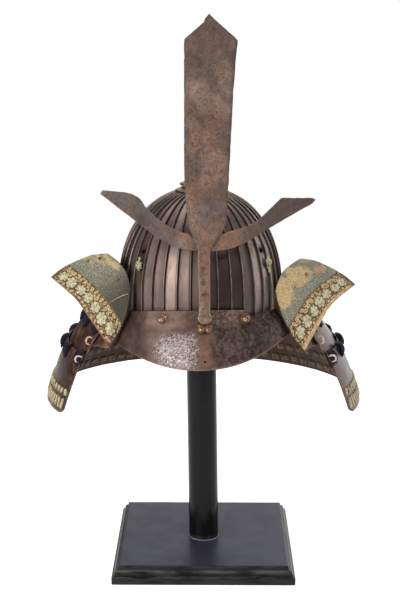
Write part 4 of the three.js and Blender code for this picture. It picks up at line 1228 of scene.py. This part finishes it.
def crest_socket(finish):
    """A small block whose two rounded feet grip the end of the tang."""
    bottom, lobe_x, lobe, half = -23.5, 4.4, 4.1, 8.5
    outline = [(-half, -16.8), (-half, bottom)]
    for centre in (-lobe_x, lobe_x):
        outline += [(centre - lobe * math.cos(t), bottom - lobe * math.sin(t))
                    for t in np.linspace(0.1, math.pi - 0.1, 14)]
    outline += [(half, bottom), (half, -16.8)]
    outline = np.array(outline + [(s * half, -16.8) for s in (0.5, 0, -0.5)])
    centre = np.array([0, -21])
    depths = [(-133.4, 0.55), (-133.3, 0.8), (-132.6, 0.94), (-131.4, 1.0), (-127, 1.0), (-123, 1.0)]
    sections = []
    for y, share in depths:
        flat = centre + (outline - centre) * share
        sections.append(np.stack([flat[:, 0], 0 * flat[:, 0] + y, flat[:, 1]], -1))
    face_y = np.interp(-outline[:, 1], [16, 21, 24, 28], [-120.0, -120.3, -121.6, -124.2])
    sections.append(np.stack([outline[:, 0], face_y, outline[:, 1]], -1))
    sections = np.array(sections)
    faces = capped(len(sections), len(outline))
    groove = np.clip(1 - np.abs(sections[..., 0]) / 1.1, 0, 1)
    # painted highlight: paler spots low on the two lobes
    pale = 0.3 * spot(np.hypot(np.abs(sections[..., 0]) - lobe_x, sections[..., 2] + 25.5), 2.6)
    form = Form().add(sections, faces, groove=groove, pale=pale)
    for side in (-1, 1):
        points, faces = turned([(0, 0), (2.9, 0), (2.9, 0.5), (2.3, 1.1), (1.0, 1.4), (0, 1.4)], 32)
        points[:, 2] += 0.35 * grain(points, 2, 3 + side)
        seat = (side * lobe_x, -132.6, bottom - 0.6)
        form.add(aimed(points, seat, (0, -1, 0)), faces, pale=0.0, groove=0.25)
    return make("crest_socket_cast", form, finish, "copper", nodes=["crest_socket"], crease=40)


# ---- neck guard ----------------------------------------------------------------------------


def guard_point(angle, slide):
    """A point on the flaring surface: angle from the front, slide from 0 at its top to 1."""
    flare = slide ** 0.714
    side, length, centre = (blend(a, b, flare) for a, b in (GUARD_SIDES, GUARD_LENGTHS, GUARD_CENTRES))
    return np.stack(np.broadcast_arrays(GUARD_SHIFT * flare + side * np.sin(angle),
                                        centre - length * np.cos(angle),
                                        GUARD_TOP - GUARD_DEPTH * slide ** 1.7), -1)


def guard_out(angle, slide):
    step = 1e-3
    along = guard_point(angle + step, slide) - guard_point(angle - step, slide)
    down = guard_point(angle, slide + step) - guard_point(angle, np.maximum(slide - step, 1e-4))
    out = np.cross(down, along)
    return out / np.linalg.norm(out, axis=-1, keepdims=True)


def guard_offset(angle, slide, out):
    return guard_point(angle, slide) + guard_out(angle, slide) * np.asarray(out)[..., None]


def catmull_rom(points):
    """A centripetal curve through the points, with straight run-outs, as a function of 0 to 1."""
    points = [np.array(p, float) for p in points]
    points = [2 * points[0] - points[1], *points, 2 * points[-1] - points[-2]]

    def at(share):
        place = np.clip(share, 0, 1) * (len(points) - 3)
        leg = min(int(place), len(points) - 4)
        s = place - leg
        p0, p1, p2, p3 = points[leg:leg + 4]
        d0, d1, d2 = (math.sqrt(np.linalg.norm(b - a)) for a, b in ((p0, p1), (p1, p2), (p2, p3)))
        t1 = ((p1 - p0) / d0 - (p2 - p0) / (d0 + d1) + (p2 - p1) / d1) * d1
        t2 = ((p2 - p1) / d1 - (p3 - p1) / (d1 + d2) + (p3 - p2) / d2) * d1
        return (p1 + t1 * s + (-3 * p1 + 3 * p2 - 2 * t1 - t2) * s ** 2
                + (2 * p1 - 2 * p2 + t1 + t2) * s ** 3)

    return at


turnback_upper = catmull_rom([(92.3, -72, 15.5), (98, -66, 33), (108.5, -56, 43.5), (133, -35, 56)])
turnback_lower = catmull_rom([(125, -84, -61), (146.5, -72, -29.5), (166, -45, -8.8), (206, -5, 15)])


def turnback_point(side, reach, fall):
    """A point on a turnback: reach 0 at the fold to 1 outside, fall 0 at its upper edge to 1."""
    corner = max(0.0, 1 - fall / 0.25)
    trimmed = reach * (0.96 + 0.16 * fall * (1 - fall) - 0.07 * corner ** 2)
    above, below = turnback_upper(trimmed), turnback_lower(trimmed)
    spread = 1.02 if side > 0 else 0.975
    bow = 4 * fall * (1 - fall) * max(0.0, 1 - reach * 1.3)
    p = blend(above, below, fall) + np.array([-7, -4, -1]) * bow
    x = side * p[0] * blend(1, spread, reach) + 6 * fall * (1 - reach) ** 2
    return np.array([x, p[1], p[2] - 0.023 * x])


def turnback_grid(side, reaches, falls):
    return np.array([[turnback_point(side, r, f) for f in falls] for r in reaches])


def top_lame(finish):
    falls = stations(26, 0.014)
    reaches = stations(40, 0.012)[:-3]
    start = math.radians(FOLD_START)
    angles = np.linspace(start, 2 * math.pi - start, 190)
    columns = [turnback_grid(1, [1 - r for r in reaches], falls)]
    for angle in angles:
        degrees = math.degrees(angle)
        from_front = min(degrees, 360 - degrees)
        side = 1 if degrees < 180 else -1
        share = smooth(from_front, FOLD_START, FOLD_END)
        fold = np.array([turnback_point(side, 0, f) for f in falls])
        plain = guard_point(angle, LAME_SPANS[0][1] * falls)
        columns.append((fold + (plain - fold) * share)[None])
    columns.append(turnback_grid(-1, [1 - r for r in reaches[::-1]], falls))
    columns = np.concatenate(columns)
    apart = np.linalg.norm(np.diff(columns[:, 5], axis=0), axis=1)
    columns = columns[np.concatenate([[True], apart > 1e-3])]
    edge = np.minimum(falls, 1 - falls)[None, :] * LAME_LENGTH * np.ones((len(columns), 1))
    rust = spot(np.linalg.norm(columns - turnback_point(-1, 0.0, 1.0), axis=-1), 15)
    points, faces, values = plate(columns, 0.35, 22, 70,
                                  rim=1 - smooth(edge, 0.6, 2.5), rust=rust)
    return make("neck_lame_1_folded", Form().add(points, faces, **values), finish, "lacquer",
                in_guard, ["neck_lame_1"], crease=50)


def lower_lame(index, finish):
    top, bottom = LAME_SPANS[index]
    falls = stations(22, 0.02)
    across = stations(230, 0.0035)
    share, fall = np.meshgrid(across, falls, indexing="ij")
    run = np.minimum(share, 1 - share) * 620
    lift = 0.045 * (1 - np.sqrt(np.clip(1 - (1 - np.clip(run / 11, 0, 1)) ** 2, 0, 1)))
    slide = blend(top, bottom - lift, fall)
    start = np.radians(LAME_FRONT + LAME_RAKE * slide ** 2)
    angle = start + (2 * math.pi - 2 * start) * share
    columns = guard_offset(angle, slide, index * LAME_STEP + 0 * angle)
    edge = np.minimum(np.minimum(fall, 1 - fall) * LAME_LENGTH, run)
    points, faces, values = plate(columns, 0.3, 20, 80 + index,
                                  rim=1 - smooth(edge, 0.6, 2.6))
    return make(f"neck_lame_{index + 1}_curved", Form().add(points, faces, **values), finish,
                "lacquer", in_guard, [f"neck_lame_{index + 1}"], crease=50)


def facing(side, reaches, falls):
    """A facing's grid on the turnback, and the directions away from the lame."""
    columns = turnback_grid(side, reaches, falls)
    return columns, normals(columns) * -side


def facing_piece(name, columns, out, opening, finish, slot, node, crease, **values):
    """A leather that lies just off the lame, its outer face raised by the opening."""
    outer = columns + out * (1.75 + opening * rims(columns))[..., None]
    inner = columns + out * (1.3 + 0.2 * (1 - rims(columns)))[..., None]
    points, faces, values = wall(outer, inner, **values)
    return make(name, Form().add(points, faces, **values), finish, slot, in_guard, [node], crease=crease)


def turnback_field(side, finish, name, node):
    reaches, falls = stations(92, 0.008), stations(60, 0.012) * (SEAM_AT - 0.012) + 0.004
    reaches = 0.004 + reaches * 0.988
    columns, out = facing(side, reaches, falls)
    reach, fall = np.meshgrid(reaches, falls, indexing="ij")
    cloud, small = grain(columns, 16, 90 + side, 3), grain(columns, 7, 95 + side, 3)
    if side < 0:
        swirl = np.sin(40 * fall + 5 * cloud + 7 * reach)
        ochre = 0.54 * spot(np.hypot((reach - 0.78) / 1.9, (fall - 0.09) / 0.9), 0.16)
        ochre += 0.15 * swirl * (fall < 0.34)
        ochre += 0.40 * spot(np.hypot(reach - 0.93, fall - 0.28), 0.12)
        pink = 0.3 * spot(np.hypot((reach - 0.62) / 1.4, fall - 0.12), 0.10)
        blue = 0.36 * smooth(fall, 0.28, 0.45) * smooth(cloud, -0.1, 0.4)
        shade = 0.06 + 0.94 * (1 - smooth(reach + 0.25 * (0.3 - fall), 0.10, 0.80))
    else:
        ochre = 0.80 * spot(np.hypot((reach - 0.64), (fall - 0.22)), 0.24)
        ochre = np.maximum(ochre, 0.80 * spot(np.hypot((reach - 0.24) / 1.1, fall - 0.20), 0.26))
        pink = 0.66 * spot(np.hypot(reach - 0.95, (fall - 0.07) / 1.3), 0.075)
        pink += 0.66 * spot(np.hypot(reach - 0.91, (fall - 0.36) / 1.2), 0.08)
        blue = 0.62 * spot(np.hypot((reach - 0.60) / 1.1, fall - 0.50), 0.11)
        blue += 0.50 * spot(np.hypot(reach - 0.88, fall - 0.02), 0.10)
        blue += 0.45 * spot(np.hypot(reach - 0.9, fall - 0.6), 0.1)
        shade = 0.15 * (1 - smooth(reach, 0.0, 0.06))
    wave = 0.3 * grain(columns, 14, 98) + 0.1 * grain(columns, 2.4, 99)
    return facing_piece(name, columns, out, 0.75 + wave, finish, "leather", node, 60,
                        ochre=ochre + 0.12 * small, pink=pink, blue=blue, shade=np.clip(shade, 0, 1))


def flower_print(u, v, length, width, seed):
    """Blossoms in a row near the free edge, and scrolls and leaves between them and the seam.

    u runs along the border, v from the seam to the free edge, all in mm."""
    bloom, outline, leaf = np.zeros_like(u), np.zeros_like(u), np.zeros_like(u)
    pick = iter(lattice(np.stack([np.arange(4000), np.full(4000, seed), np.zeros(4000)], -1), seed))

    def jitter(amount):
        return amount * (2 * next(pick) - 1)

    for row, pitch, long, narrow, ring in ((0.10, 7.4, 4.3, 2.7, 0.30), (0.29, 8.2, 4.6, 3.1, 0.34),
                                           (0.94, 8.0, 3.9, 1.9, 0.0), (0.60, 8.4, 3.8, 2.3, 0.3)):
        for place in np.arange(2.5, length - 2, pitch):
            heading, at_u, at_v = 3.14 * next(pick), place + jitter(1.6), row * width + jitter(1.3)
            along = (u - at_u) * math.cos(heading) + (v - at_v) * math.sin(heading)
            beside = (v - at_v) * math.cos(heading) - (u - at_u) * math.sin(heading)
            beside = beside - 0.06 * along ** 2 * (1 if next(pick) > 0.5 else -1)
            far = np.hypot(along / long, beside / narrow)
            shape = smooth(1 - far, 0, 0.28) * (1 - smooth(ring - far, 0, 0.2))
            leaf = np.maximum(leaf, shape * (0.6 + 0.4 * next(pick)))
            outline = np.maximum(outline, 0.85 * smooth(1.55 - far, 0, 0.35))
    blooms = max(3, round((length - 8) / 16.8))
    pitch = (length - 5) / blooms
    for k in range(blooms):
        at_u = 2.5 + pitch * (k + 0.5) + jitter(1.2)
        at_v = width * 0.60 + jitter(1.3)
        turn, size = 6.28 * next(pick), 7.9 + 1.1 * next(pick)
        du, dv = (u - at_u) * (1 + jitter(0.08)), (v - at_v) * (1.0 + jitter(0.1))
        bearing, distance = np.arctan2(dv, du), np.hypot(du, dv)
        lobes = size * (0.76 + 0.24 * np.abs(np.cos(3.5 * bearing + turn)) ** 0.8)
        lobes = lobes + 0.5 * np.sin(11 * bearing + 9 * turn) * next(pick)
        inside = lobes - distance
        veins = 0.45 * smooth(np.abs(np.sin(3.5 * bearing + turn)), 0.90, 0.995) * smooth(distance, 2.2, 4)
        petal = smooth(inside, 0, 0.8) * (1 - veins) * (0.78 + 0.22 * next(pick))
        bloom = np.maximum(bloom * smooth(-inside, -1.0, 0.6), petal)
        outline = np.maximum(outline, smooth(inside, -1.7, -0.7))
        leaf = leaf * (1 - smooth(inside, -1.3, -0.3))
    return bloom, np.clip(outline - bloom - leaf, 0, 1), leaf


def turnback_border(side, finish, name, node):
    start = SEAM_AT + 0.010
    reaches, falls = stations(250, 0.004) * 0.99 + 0.004, stations(64, 0.015) * (0.992 - start) + start
    columns, out = facing(side, reaches, falls)
    middle = columns[:, len(falls) // 2]
    run = run_along(middle)
    width = float(np.linalg.norm(np.diff(columns[len(reaches) // 2], axis=0), axis=1).sum())
    reach, fall = np.meshgrid(reaches, falls, indexing="ij")
    u = run[:, None] + 0 * fall
    v = (fall - falls[0]) / (falls[-1] - falls[0]) * width
    warp = 0.9 * grain(columns, 5, 110 + side) + 0.75 * grain(columns, 2.2, 112 + side)
    strip_at = width - (5.8 if side > 0 else 2.2)
    bloom, outline, leaf = flower_print(u + warp, v + 0.6 * warp, run[-1], strip_at, 7 + side)
    strip = smooth(v, strip_at, strip_at + 0.8)
    gap = smooth(np.abs(v - strip_at), 0, 0.9)
    keep = 1 - strip
    ribs = 0.5 + 0.5 * np.cos(u * 2 * math.pi / 1.9)
    wear = smooth(grain(columns, 9, 120 + side, 3), 0.25, 0.6)
    tip = smooth(reach, 0.93, 0.985) * (0.6 + 0.4 * smooth(v, 0, 12))
    pink = 0.75 * strip * np.maximum(wear, 0.8 * (side < 0)) + 0.5 * tip
    values = dict(bloom=bloom * keep * (1 - 0.4 * wear), leaf=leaf * keep * (1 - 0.5 * wear),
                  outline=np.clip(outline * keep + 0.8 * (1 - gap), 0, 1),
                  strip=strip * (0.75 + 0.25 * ribs) * (1 - 0.8 * smooth(v, width - 0.8, width)), pink=pink,
                  shade=np.clip(tip * 0.75 + 0.75 * smooth(v, width - 0.7, width)
                                + (0.55 * (1 - smooth(reach, 0.0, 0.12)) + 0.45 * strip
                                   if side < 0 else 0), 0, 1))
    relief = 0.55 * bloom * keep + 0.45 * leaf * keep + strip * (0.25 + 0.2 * ribs) - 0.25 * outline
    relief += 0.18 * grain(columns, 2.0, 130) + 0.3 * grain(columns, 14, 98)
    return facing_piece(name, columns, out, 0.7 + relief, finish, "border", node, 70, **values)


def on_turnback(side, reach, fall, lift):
    at = turnback_point(side, reach, fall)
    along = turnback_point(side, reach + 0.01, fall) - turnback_point(side, reach - 0.01, fall)
    down = (turnback_point(side, reach, min(fall + 0.01, 1))
            - turnback_point(side, reach, max(fall - 0.01, 0)))
    out = np.cross(along, down) * -side
    out /= np.linalg.norm(out)
    return at + out * lift, out


def seam_cord(side, finish, name):
    """A thin two-ply cord along the seam; the right one has a loose thread."""
    reaches = np.linspace(0.012, 0.965, 170)
    path = np.array([on_turnback(side, r, SEAM_AT - 0.002, 2.7)[0] for r in reaches])
    form = Form().add(*tube(path, 0.42, 7, ridges=2, twist=3.4), groove=0.55)
    if side < 0:
        start, out = on_turnback(side, 0.30, SEAM_AT - 0.01, 3.2)
        shares = np.linspace(0, 1, 26)
        loose = np.array([start + s * np.array([25.0, -6.0, 13.5]) + out * 1.5 * s
                          + np.array([0, 0, 1.6]) * math.sin(3 * s) for s in shares])
        form.add(*tube(loose, 0.42, 7, ridges=2, twist=2.6))
    return make(name, form, finish, "cream", in_guard, crease=70)


def turnback_stud(side, reach, fall, finish, name, node):
    size = STUD_RADIUS
    profile = rounded([(0, 0), (size, 0), (size, 0.6), (size * 0.72, 1.3), (size * 0.6, 2.1),
                       (size * 0.3, 2.7), (0, 2.8)], 0.4)
    points, faces = turned(profile, 32)
    points[:, 2] += 0.2 * grain(points, 1.6, 3)
    points[:, :2] *= (1 + 0.07 * grain(points, 2.2, 8))[:, None]
    at, out = on_turnback(side, reach, fall, 2.5)
    groove = smooth(np.hypot(points[:, 0], points[:, 1]), size * 0.7, size * 0.95) * 0.6
    return make(name, Form().add(aimed(points, at, out), faces, groove=groove), finish, "gilt",
                in_guard, [node], crease=50)


# ---- lacing --------------------------------------------------------------------------------


def lace(index, angle, finish, name, node):
    """A pair of flat braids: out over the lower lame's top edge and down its face."""
    top, bottom = LAME_SPANS[index]
    length = np.linalg.norm(guard_point(angle, top) - guard_point(angle, bottom))
    wide = np.linalg.norm(guard_point(angle, top) - np.array([0, GUARD_CENTRES[0], GUARD_TOP]))
    # how far down from the lower lame's top edge, and the braid's distance from its middle
    steps = np.array([(-5, 0.8), (-3, 2.8), (0, 5.0), (4, 5.9), (8, 5.9), (12, 5.2), (15, 3.8),
                      (17.5, 1.2)])
    shares = np.linspace(0, 1, 44)
    knots = np.linspace(0, 1, len(steps))
    drop, lift = (np.interp(shares, knots, steps[:, k]) for k in (0, 1))
    for _ in range(6):
        drop[1:-1] = (drop[:-2] + 2 * drop[1:-1] + drop[2:]) / 4
        lift[1:-1] = (lift[:-2] + 2 * lift[1:-1] + lift[2:]) / 4
    slides = np.maximum(top + (bottom - top) * drop / length, 1e-3)
    form = Form()
    sides = 18
    around = np.arange(sides) * 2 * math.pi / sides
    run = np.concatenate([[0], np.cumsum(np.hypot(np.diff(drop), np.diff(lift)))])
    for strand in (-1, 1):
        spread = strand * (3.05 + 0.3 * np.sin(math.pi * shares))
        flat = np.sign(np.cos(around)) * np.abs(np.cos(around)) ** 0.7
        weave = np.cos((run[:, None] * 1.7 + strand * np.abs(flat[None, :]) * 2.4))
        ripple = 1 + 0.12 * weave
        belly = 1 + 0.14 * np.cos(run * 2 * math.pi / 13)[:, None]
        closing = np.ones(len(shares))
        closing[:2], closing[-2:] = (0.5, 0.85), (0.85, 0.5)
        across = spread[:, None] + 3.1 * flat[None, :] * closing[:, None] * belly
        upright = 0.5 * (lift[:, None] + 1.9) * closing[:, None] * ripple
        height = 0.5 * (lift[:, None] + 1.9) + 0.4 + upright * np.sin(around)[None, :]
        turn = angle + across / wide
        points = guard_offset(turn, slides[:, None] + 0 * turn, index * LAME_STEP + height)
        form.add(points, capped(len(shares), sides), groove=np.clip(0.5 - weave, 0, 1) * 0.8 + 0 * across)
    for strand in (-1, 1):
        s = np.linspace(-1, 1, 16)
        slide = top + (bottom - top) * (16.5 + 3.4 * strand * s) / length
        path = guard_offset(angle + 5.0 * s / wide, slide, index * LAME_STEP + 2.1 + 1.0 * (1 - s ** 2)
                            + 0.5 * strand)
        form.add(*tube(path, 1.15, 10, ridges=3, twist=1.6, squash=0.8), groove=0.2)
    return make(name, form, finish, "lacing", in_guard, [node], crease=60)


# each loop's lame, its middle's drop from the top edge, tilt, height and rise; and the lame's reach
THONG_LOOPS = ((1, 11, 0.5, 4.4, 3.4), (1, 31, -0.3, 5.2, 7.6), (2, 9, 0.4, 5.0, 7.6))
THONG_WIDE = 145.0


def thread_loops(side, finish, name):
    """Pale thong ends that show beside the foremost laces."""
    form = Form()
    for index, drop, tilt, size, lift in THONG_LOOPS:
        top, bottom = LAME_SPANS[index]
        angle = math.radians(LAME_FRONT + (2.4 if lift < 4 else 1.5))
        length = np.linalg.norm(guard_point(angle, top) - guard_point(angle, bottom))
        s = np.linspace(-1.9, 1.6, 26)
        across = 2.2 * np.cos(s) + tilt * s
        slide = top + (bottom - top) * (drop + size * np.sin(s * 0.95)) / length
        turn = angle + across / THONG_WIDE
        turn = turn if side > 0 else 2 * math.pi - turn
        rise = np.sqrt(np.clip(1 - ((s + 0.15) / 1.76) ** 2, 0, 1))
        path = guard_offset(turn, slide, index * LAME_STEP + 0.9 + lift * rise)
        form.add(*tube(path, 1.25, 9, ridges=2, twist=2.0))
    return make(name, form, finish, "cream", in_guard, crease=70)


# ---- rows of knots, made by geometry nodes -------------------------------------------------


def knot_tree():
    """Puts a soft bar on every guide point, turned as the point says, a little uneven."""
    tree = bpy.data.node_groups.new("row_of_knots", "GeometryNodeTree")
    face = tree.interface
    face.new_socket("Geometry", in_out="INPUT", socket_type="NodeSocketGeometry")
    for name, kind in (("Length", "NodeSocketFloat"), ("Width", "NodeSocketFloat"),
                       ("Height", "NodeSocketFloat"), ("Unevenness", "NodeSocketFloat"),
                       ("Softness", "NodeSocketInt"), ("Seed", "NodeSocketInt"),
                       ("Finish", "NodeSocketMaterial")):
        face.new_socket(name, in_out="INPUT", socket_type=kind)
    face.new_socket("Geometry", in_out="OUTPUT", socket_type="NodeSocketGeometry")
    link, new = tree.links.new, tree.nodes.new
    given, made = new("NodeGroupInput"), new("NodeGroupOutput")

    size = new("ShaderNodeCombineXYZ")
    for axis, name in (("X", "Length"), ("Y", "Width"), ("Z", "Height")):
        link(given.outputs[name], size.inputs[axis])
    block = new("GeometryNodeMeshCube")
    link(size.outputs[0], block.inputs["Size"])
    for axis, count in (("X", 3), ("Y", 2), ("Z", 2)):
        block.inputs[f"Vertices {axis}"].default_value = count
    soft = new("GeometryNodeSubdivisionSurface")
    soft.inputs["Edge Crease"].default_value = 0.42
    link(block.outputs["Mesh"], soft.inputs["Mesh"])
    link(given.outputs["Softness"], soft.inputs["Level"])

    turn = new("GeometryNodeInputNamedAttribute")
    turn.data_type = "FLOAT_VECTOR"
    turn.inputs["Name"].default_value = "turn"
    uneven = new("ShaderNodeMath")
    uneven.operation = "MULTIPLY"
    link(given.outputs["Unevenness"], uneven.inputs[0])
    uneven.inputs[1].default_value = -1.0

    def spread(offset, scale):
        """Random vectors between minus and plus the unevenness."""
        chance = new("FunctionNodeRandomValue")
        chance.data_type = "FLOAT_VECTOR"
        low, high = new("ShaderNodeVectorMath"), new("ShaderNodeVectorMath")
        for node, source in ((low, uneven.outputs[0]), (high, given.outputs["Unevenness"])):
            node.operation = "SCALE"
            node.inputs[0].default_value = scale
            link(source, node.inputs["Scale"])
        link(low.outputs[0], chance.inputs["Min"])
        link(high.outputs[0], chance.inputs["Max"])
        seed = new("ShaderNodeMath")
        seed.operation = "ADD"
        link(given.outputs["Seed"], seed.inputs[0])
        seed.inputs[1].default_value = offset
        link(seed.outputs[0], chance.inputs["Seed"])
        return chance.outputs[0]

    one = new("ShaderNodeVectorMath")
    one.operation = "ADD"
    one.inputs[0].default_value = (1, 1, 1)
    link(spread(1, (0.9, 0.9, 0.7)), one.inputs[1])
    place = new("GeometryNodeInstanceOnPoints")
    link(given.outputs["Geometry"], place.inputs["Points"])
    link(soft.outputs["Mesh"], place.inputs["Instance"])
    link(turn.outputs["Attribute"], place.inputs["Rotation"])
    link(one.outputs[0], place.inputs["Scale"])
    twist = new("GeometryNodeRotateInstances")
    link(place.outputs[0], twist.inputs["Instances"])
    link(spread(2, (0.3, 0.3, 1.2)), twist.inputs["Rotation"])
    real = new("GeometryNodeRealizeInstances")
    link(twist.outputs[0], real.inputs[0])
    paint = new("GeometryNodeSetMaterial")
    link(real.outputs[0], paint.inputs["Geometry"])
    link(given.outputs["Finish"], paint.inputs["Material"])
    link(paint.outputs[0], made.inputs[0])
    return tree


def knots(name, places, finish, size, uneven, seed):
    """Real bars at places, each (point, along, out), through the shared tree."""
    spots, turns = [], []
    for point, along, out in places:
        at = in_guard(np.array([point, point + along, point + out])) * MM
        x_axis = Vector(at[1] - at[0]).normalized()
        z_axis = Vector(at[2] - at[0])
        z_axis = (z_axis - z_axis.dot(x_axis) * x_axis).normalized()
        turn = Matrix((x_axis, z_axis.cross(x_axis), z_axis)).transposed()
        spots.append(tuple(at[0]))
        turns.append(turn.to_euler())
    guide = bpy.data.meshes.new(name)
    guide.from_pydata(spots, [], [])
    guide.attributes.new("turn", "FLOAT_VECTOR", "POINT").data.foreach_set(
        "vector", np.array(turns, np.float32).ravel())
    piece = linked(name, guide)
    maker = piece.modifiers.new("knots", "NODES")
    maker.node_group = KNOT_TREE
    given = dict(zip(("Length", "Width", "Height"), (s * MM for s in size)))
    given.update({"Unevenness": uneven, "Softness": 1, "Seed": seed, "Finish": finish})
    for socket in KNOT_TREE.interface.items_tree:
        if socket.name in given:
            maker[socket.identifier] = given[socket.name]
    applied(piece)
    return settle(piece, "cream", (), 70)


def guard_places(index, slide, angles, lift, lean=0.0, outside=True):
    """Places on a lame for upright bars; lean tips them alternately."""
    found = []
    way = 1 if outside else -1
    for count, angle in enumerate(angles):
        out = guard_out(np.array(angle), np.array(slide))
        at = guard_offset(np.array(angle), np.array(slide), index * LAME_STEP + way * lift)
        down = guard_offset(np.array(angle), np.array(slide + 0.01), index * LAME_STEP + way * lift) - at
        down /= np.linalg.norm(down)
        side = np.cross(out, down)
        tip = lean * (1 if count % 2 else -1)
        found.append((at, down * math.cos(tip) + side * math.sin(tip), out * way))
    return found


def guard_angles(slide, pitch, margin):
    """Even steps round a lame at a slide, its front ends left free by a margin in mm."""
    start = math.radians(LAME_FRONT + LAME_RAKE * slide ** 2)
    fine = np.linspace(start, 2 * math.pi - start, 2000)
    line = guard_point(fine, slide + 0 * fine)
    run = run_along(line)
    count = int((run[-1] - 2 * margin) / pitch)
    return np.interp(np.linspace(margin, run[-1] - margin, count + 1), run, fine)


def hem_knots(cream, shaded_cream):
    """Two rows of knots outside the lowest lame's hem, and two rows of bars inside."""
    rows = (("hem_knots_upper", 0.864, 10.4, 8.8, 5.8, 0.36, 51),
            ("hem_knots_lower", 0.938, 9.0, 14.6, 5.2, 0.10, 52))
    for name, slide, pitch, tall, wide, lean, seed in rows:
        places = guard_places(2, slide, guard_angles(slide, pitch, 7.5), 1.5, lean)
        knots(name, places, cream, (tall, wide, 3.2), 0.1, seed)
    # the bars inside take the painted-shade copy of the cream thread
    for name, slide, seed in (("hem_bars_upper", 0.868, 53), ("hem_bars_lower", 0.952, 54)):
        places = guard_places(2, slide, guard_angles(slide, 15.6, 10), 1.3, 0.05, False)
        knots(name, places, shaded_cream, (9.6, 12.2, 2.4), 0.07, seed)


# ---- assembly ------------------------------------------------------------------------------

studio_camera()
studio()
KNOT_TREE = knot_tree()

paint, dust = black_stand_paint("black_base_paint", 0.12, 0.29), foot_ring_dust()
gloss = black_stand_paint("black_post_paint", 0.13, 0.16)
stand_base(paint)
stand_post(gloss, dust)
stand_head(paint)

iron, visor_iron, rust, gold, brass = bowl_iron(), dark_iron(), rusty_iron(), gilt(), copper()
lacquer, field, border = lame_lacquer(), turnback_field_leather(), turnback_border_leather()
navy, cream = navy_braid(), cream_thread()
thong = cream_thread("pale_thong", (0.22, 0.13, 0.10), (0.42, 0.31, 0.25), (0.70, 0.59, 0.52))
# painted shade: a darker copy of the cream thread, for the bars inside the hem that lie in shadow
shaded_cream = cream_thread("shaded_cream_thread", (0.028, 0.016, 0.009), (0.080, 0.052, 0.028), (0.18, 0.135, 0.075))

bowl(iron)
for hand, side in (("left", 1), ("right", -1)):
    bowl_knob(side, cream, f"bowl_knob_{hand}_twist", f"bowl_knob_{hand}")
    visor_rivet(side, brass, f"visor_rivet_{hand}_domed", f"visor_rivet_{hand}")
waist_band(visor_iron)
crown_rosette(gold)
crown_collar(brass)
visor(visor_iron)
crest_blade(rust)
crest_horns(rust)
crest_socket(brass)

top_lame(lacquer)
lower_lame(1, lacquer)
lower_lame(2, lacquer)
for hand, side in (("left", 1), ("right", -1)):
    turnback_field(side, field, f"turnback_field_{hand}", f"turnback_leather_{hand}")
    turnback_border(side, border, f"turnback_flowers_{hand}", f"turnback_border_{hand}")
    seam_cord(side, cream, f"turnback_seam_{hand}")
    thread_loops(side, thong, f"thong_ends_{hand}")
    for place, degrees in enumerate(LACE_ANGLES):
        turn = math.radians(degrees if side > 0 else 360 - degrees)
        for index, row in ((1, "upper"), (2, "lower")):
            node = f"lace_{row}_{hand}_{place + 1}"
            lace(index, turn, navy, f"{node}_braid", node)
studs = ((1, 0.45, 0.3), (1, 0.75, 0.3), (1, 0.97, 0.63),
         (-1, 0.42, 0.22), (-1, 0.9, 0.15), (-1, 0.93, 0.32))
for place, (side, reach, fall) in enumerate(studs):
    turnback_stud(side, reach, fall, gold, f"turnback_stud_{place + 1}_domed", f"turnback_stud_{place + 1}")
hem_knots(cream, shaded_cream)

# ---- floor ---------------------------------------------------------------------------------

floor_mesh = bpy.data.meshes.new("floor")
floor_mesh.from_pydata([(-1.6, -1.2, 0), (1.6, -1.2, 0), (1.6, 1.6, 0), (-1.6, 1.6, 0)], [],
                       [(0, 1, 2, 3)])
floor = linked("floor", floor_mesh)
pale = Finish("pale_floor", specular=0.0)
pale.shader.inputs["Emission Color"].default_value = (1, 1, 1, 1)
pale.shader.inputs["Emission Strength"].default_value = 0.9
pale.base = (0.4, 0.4, 0.4)
floor_mesh.materials.append(pale.done(0.9))
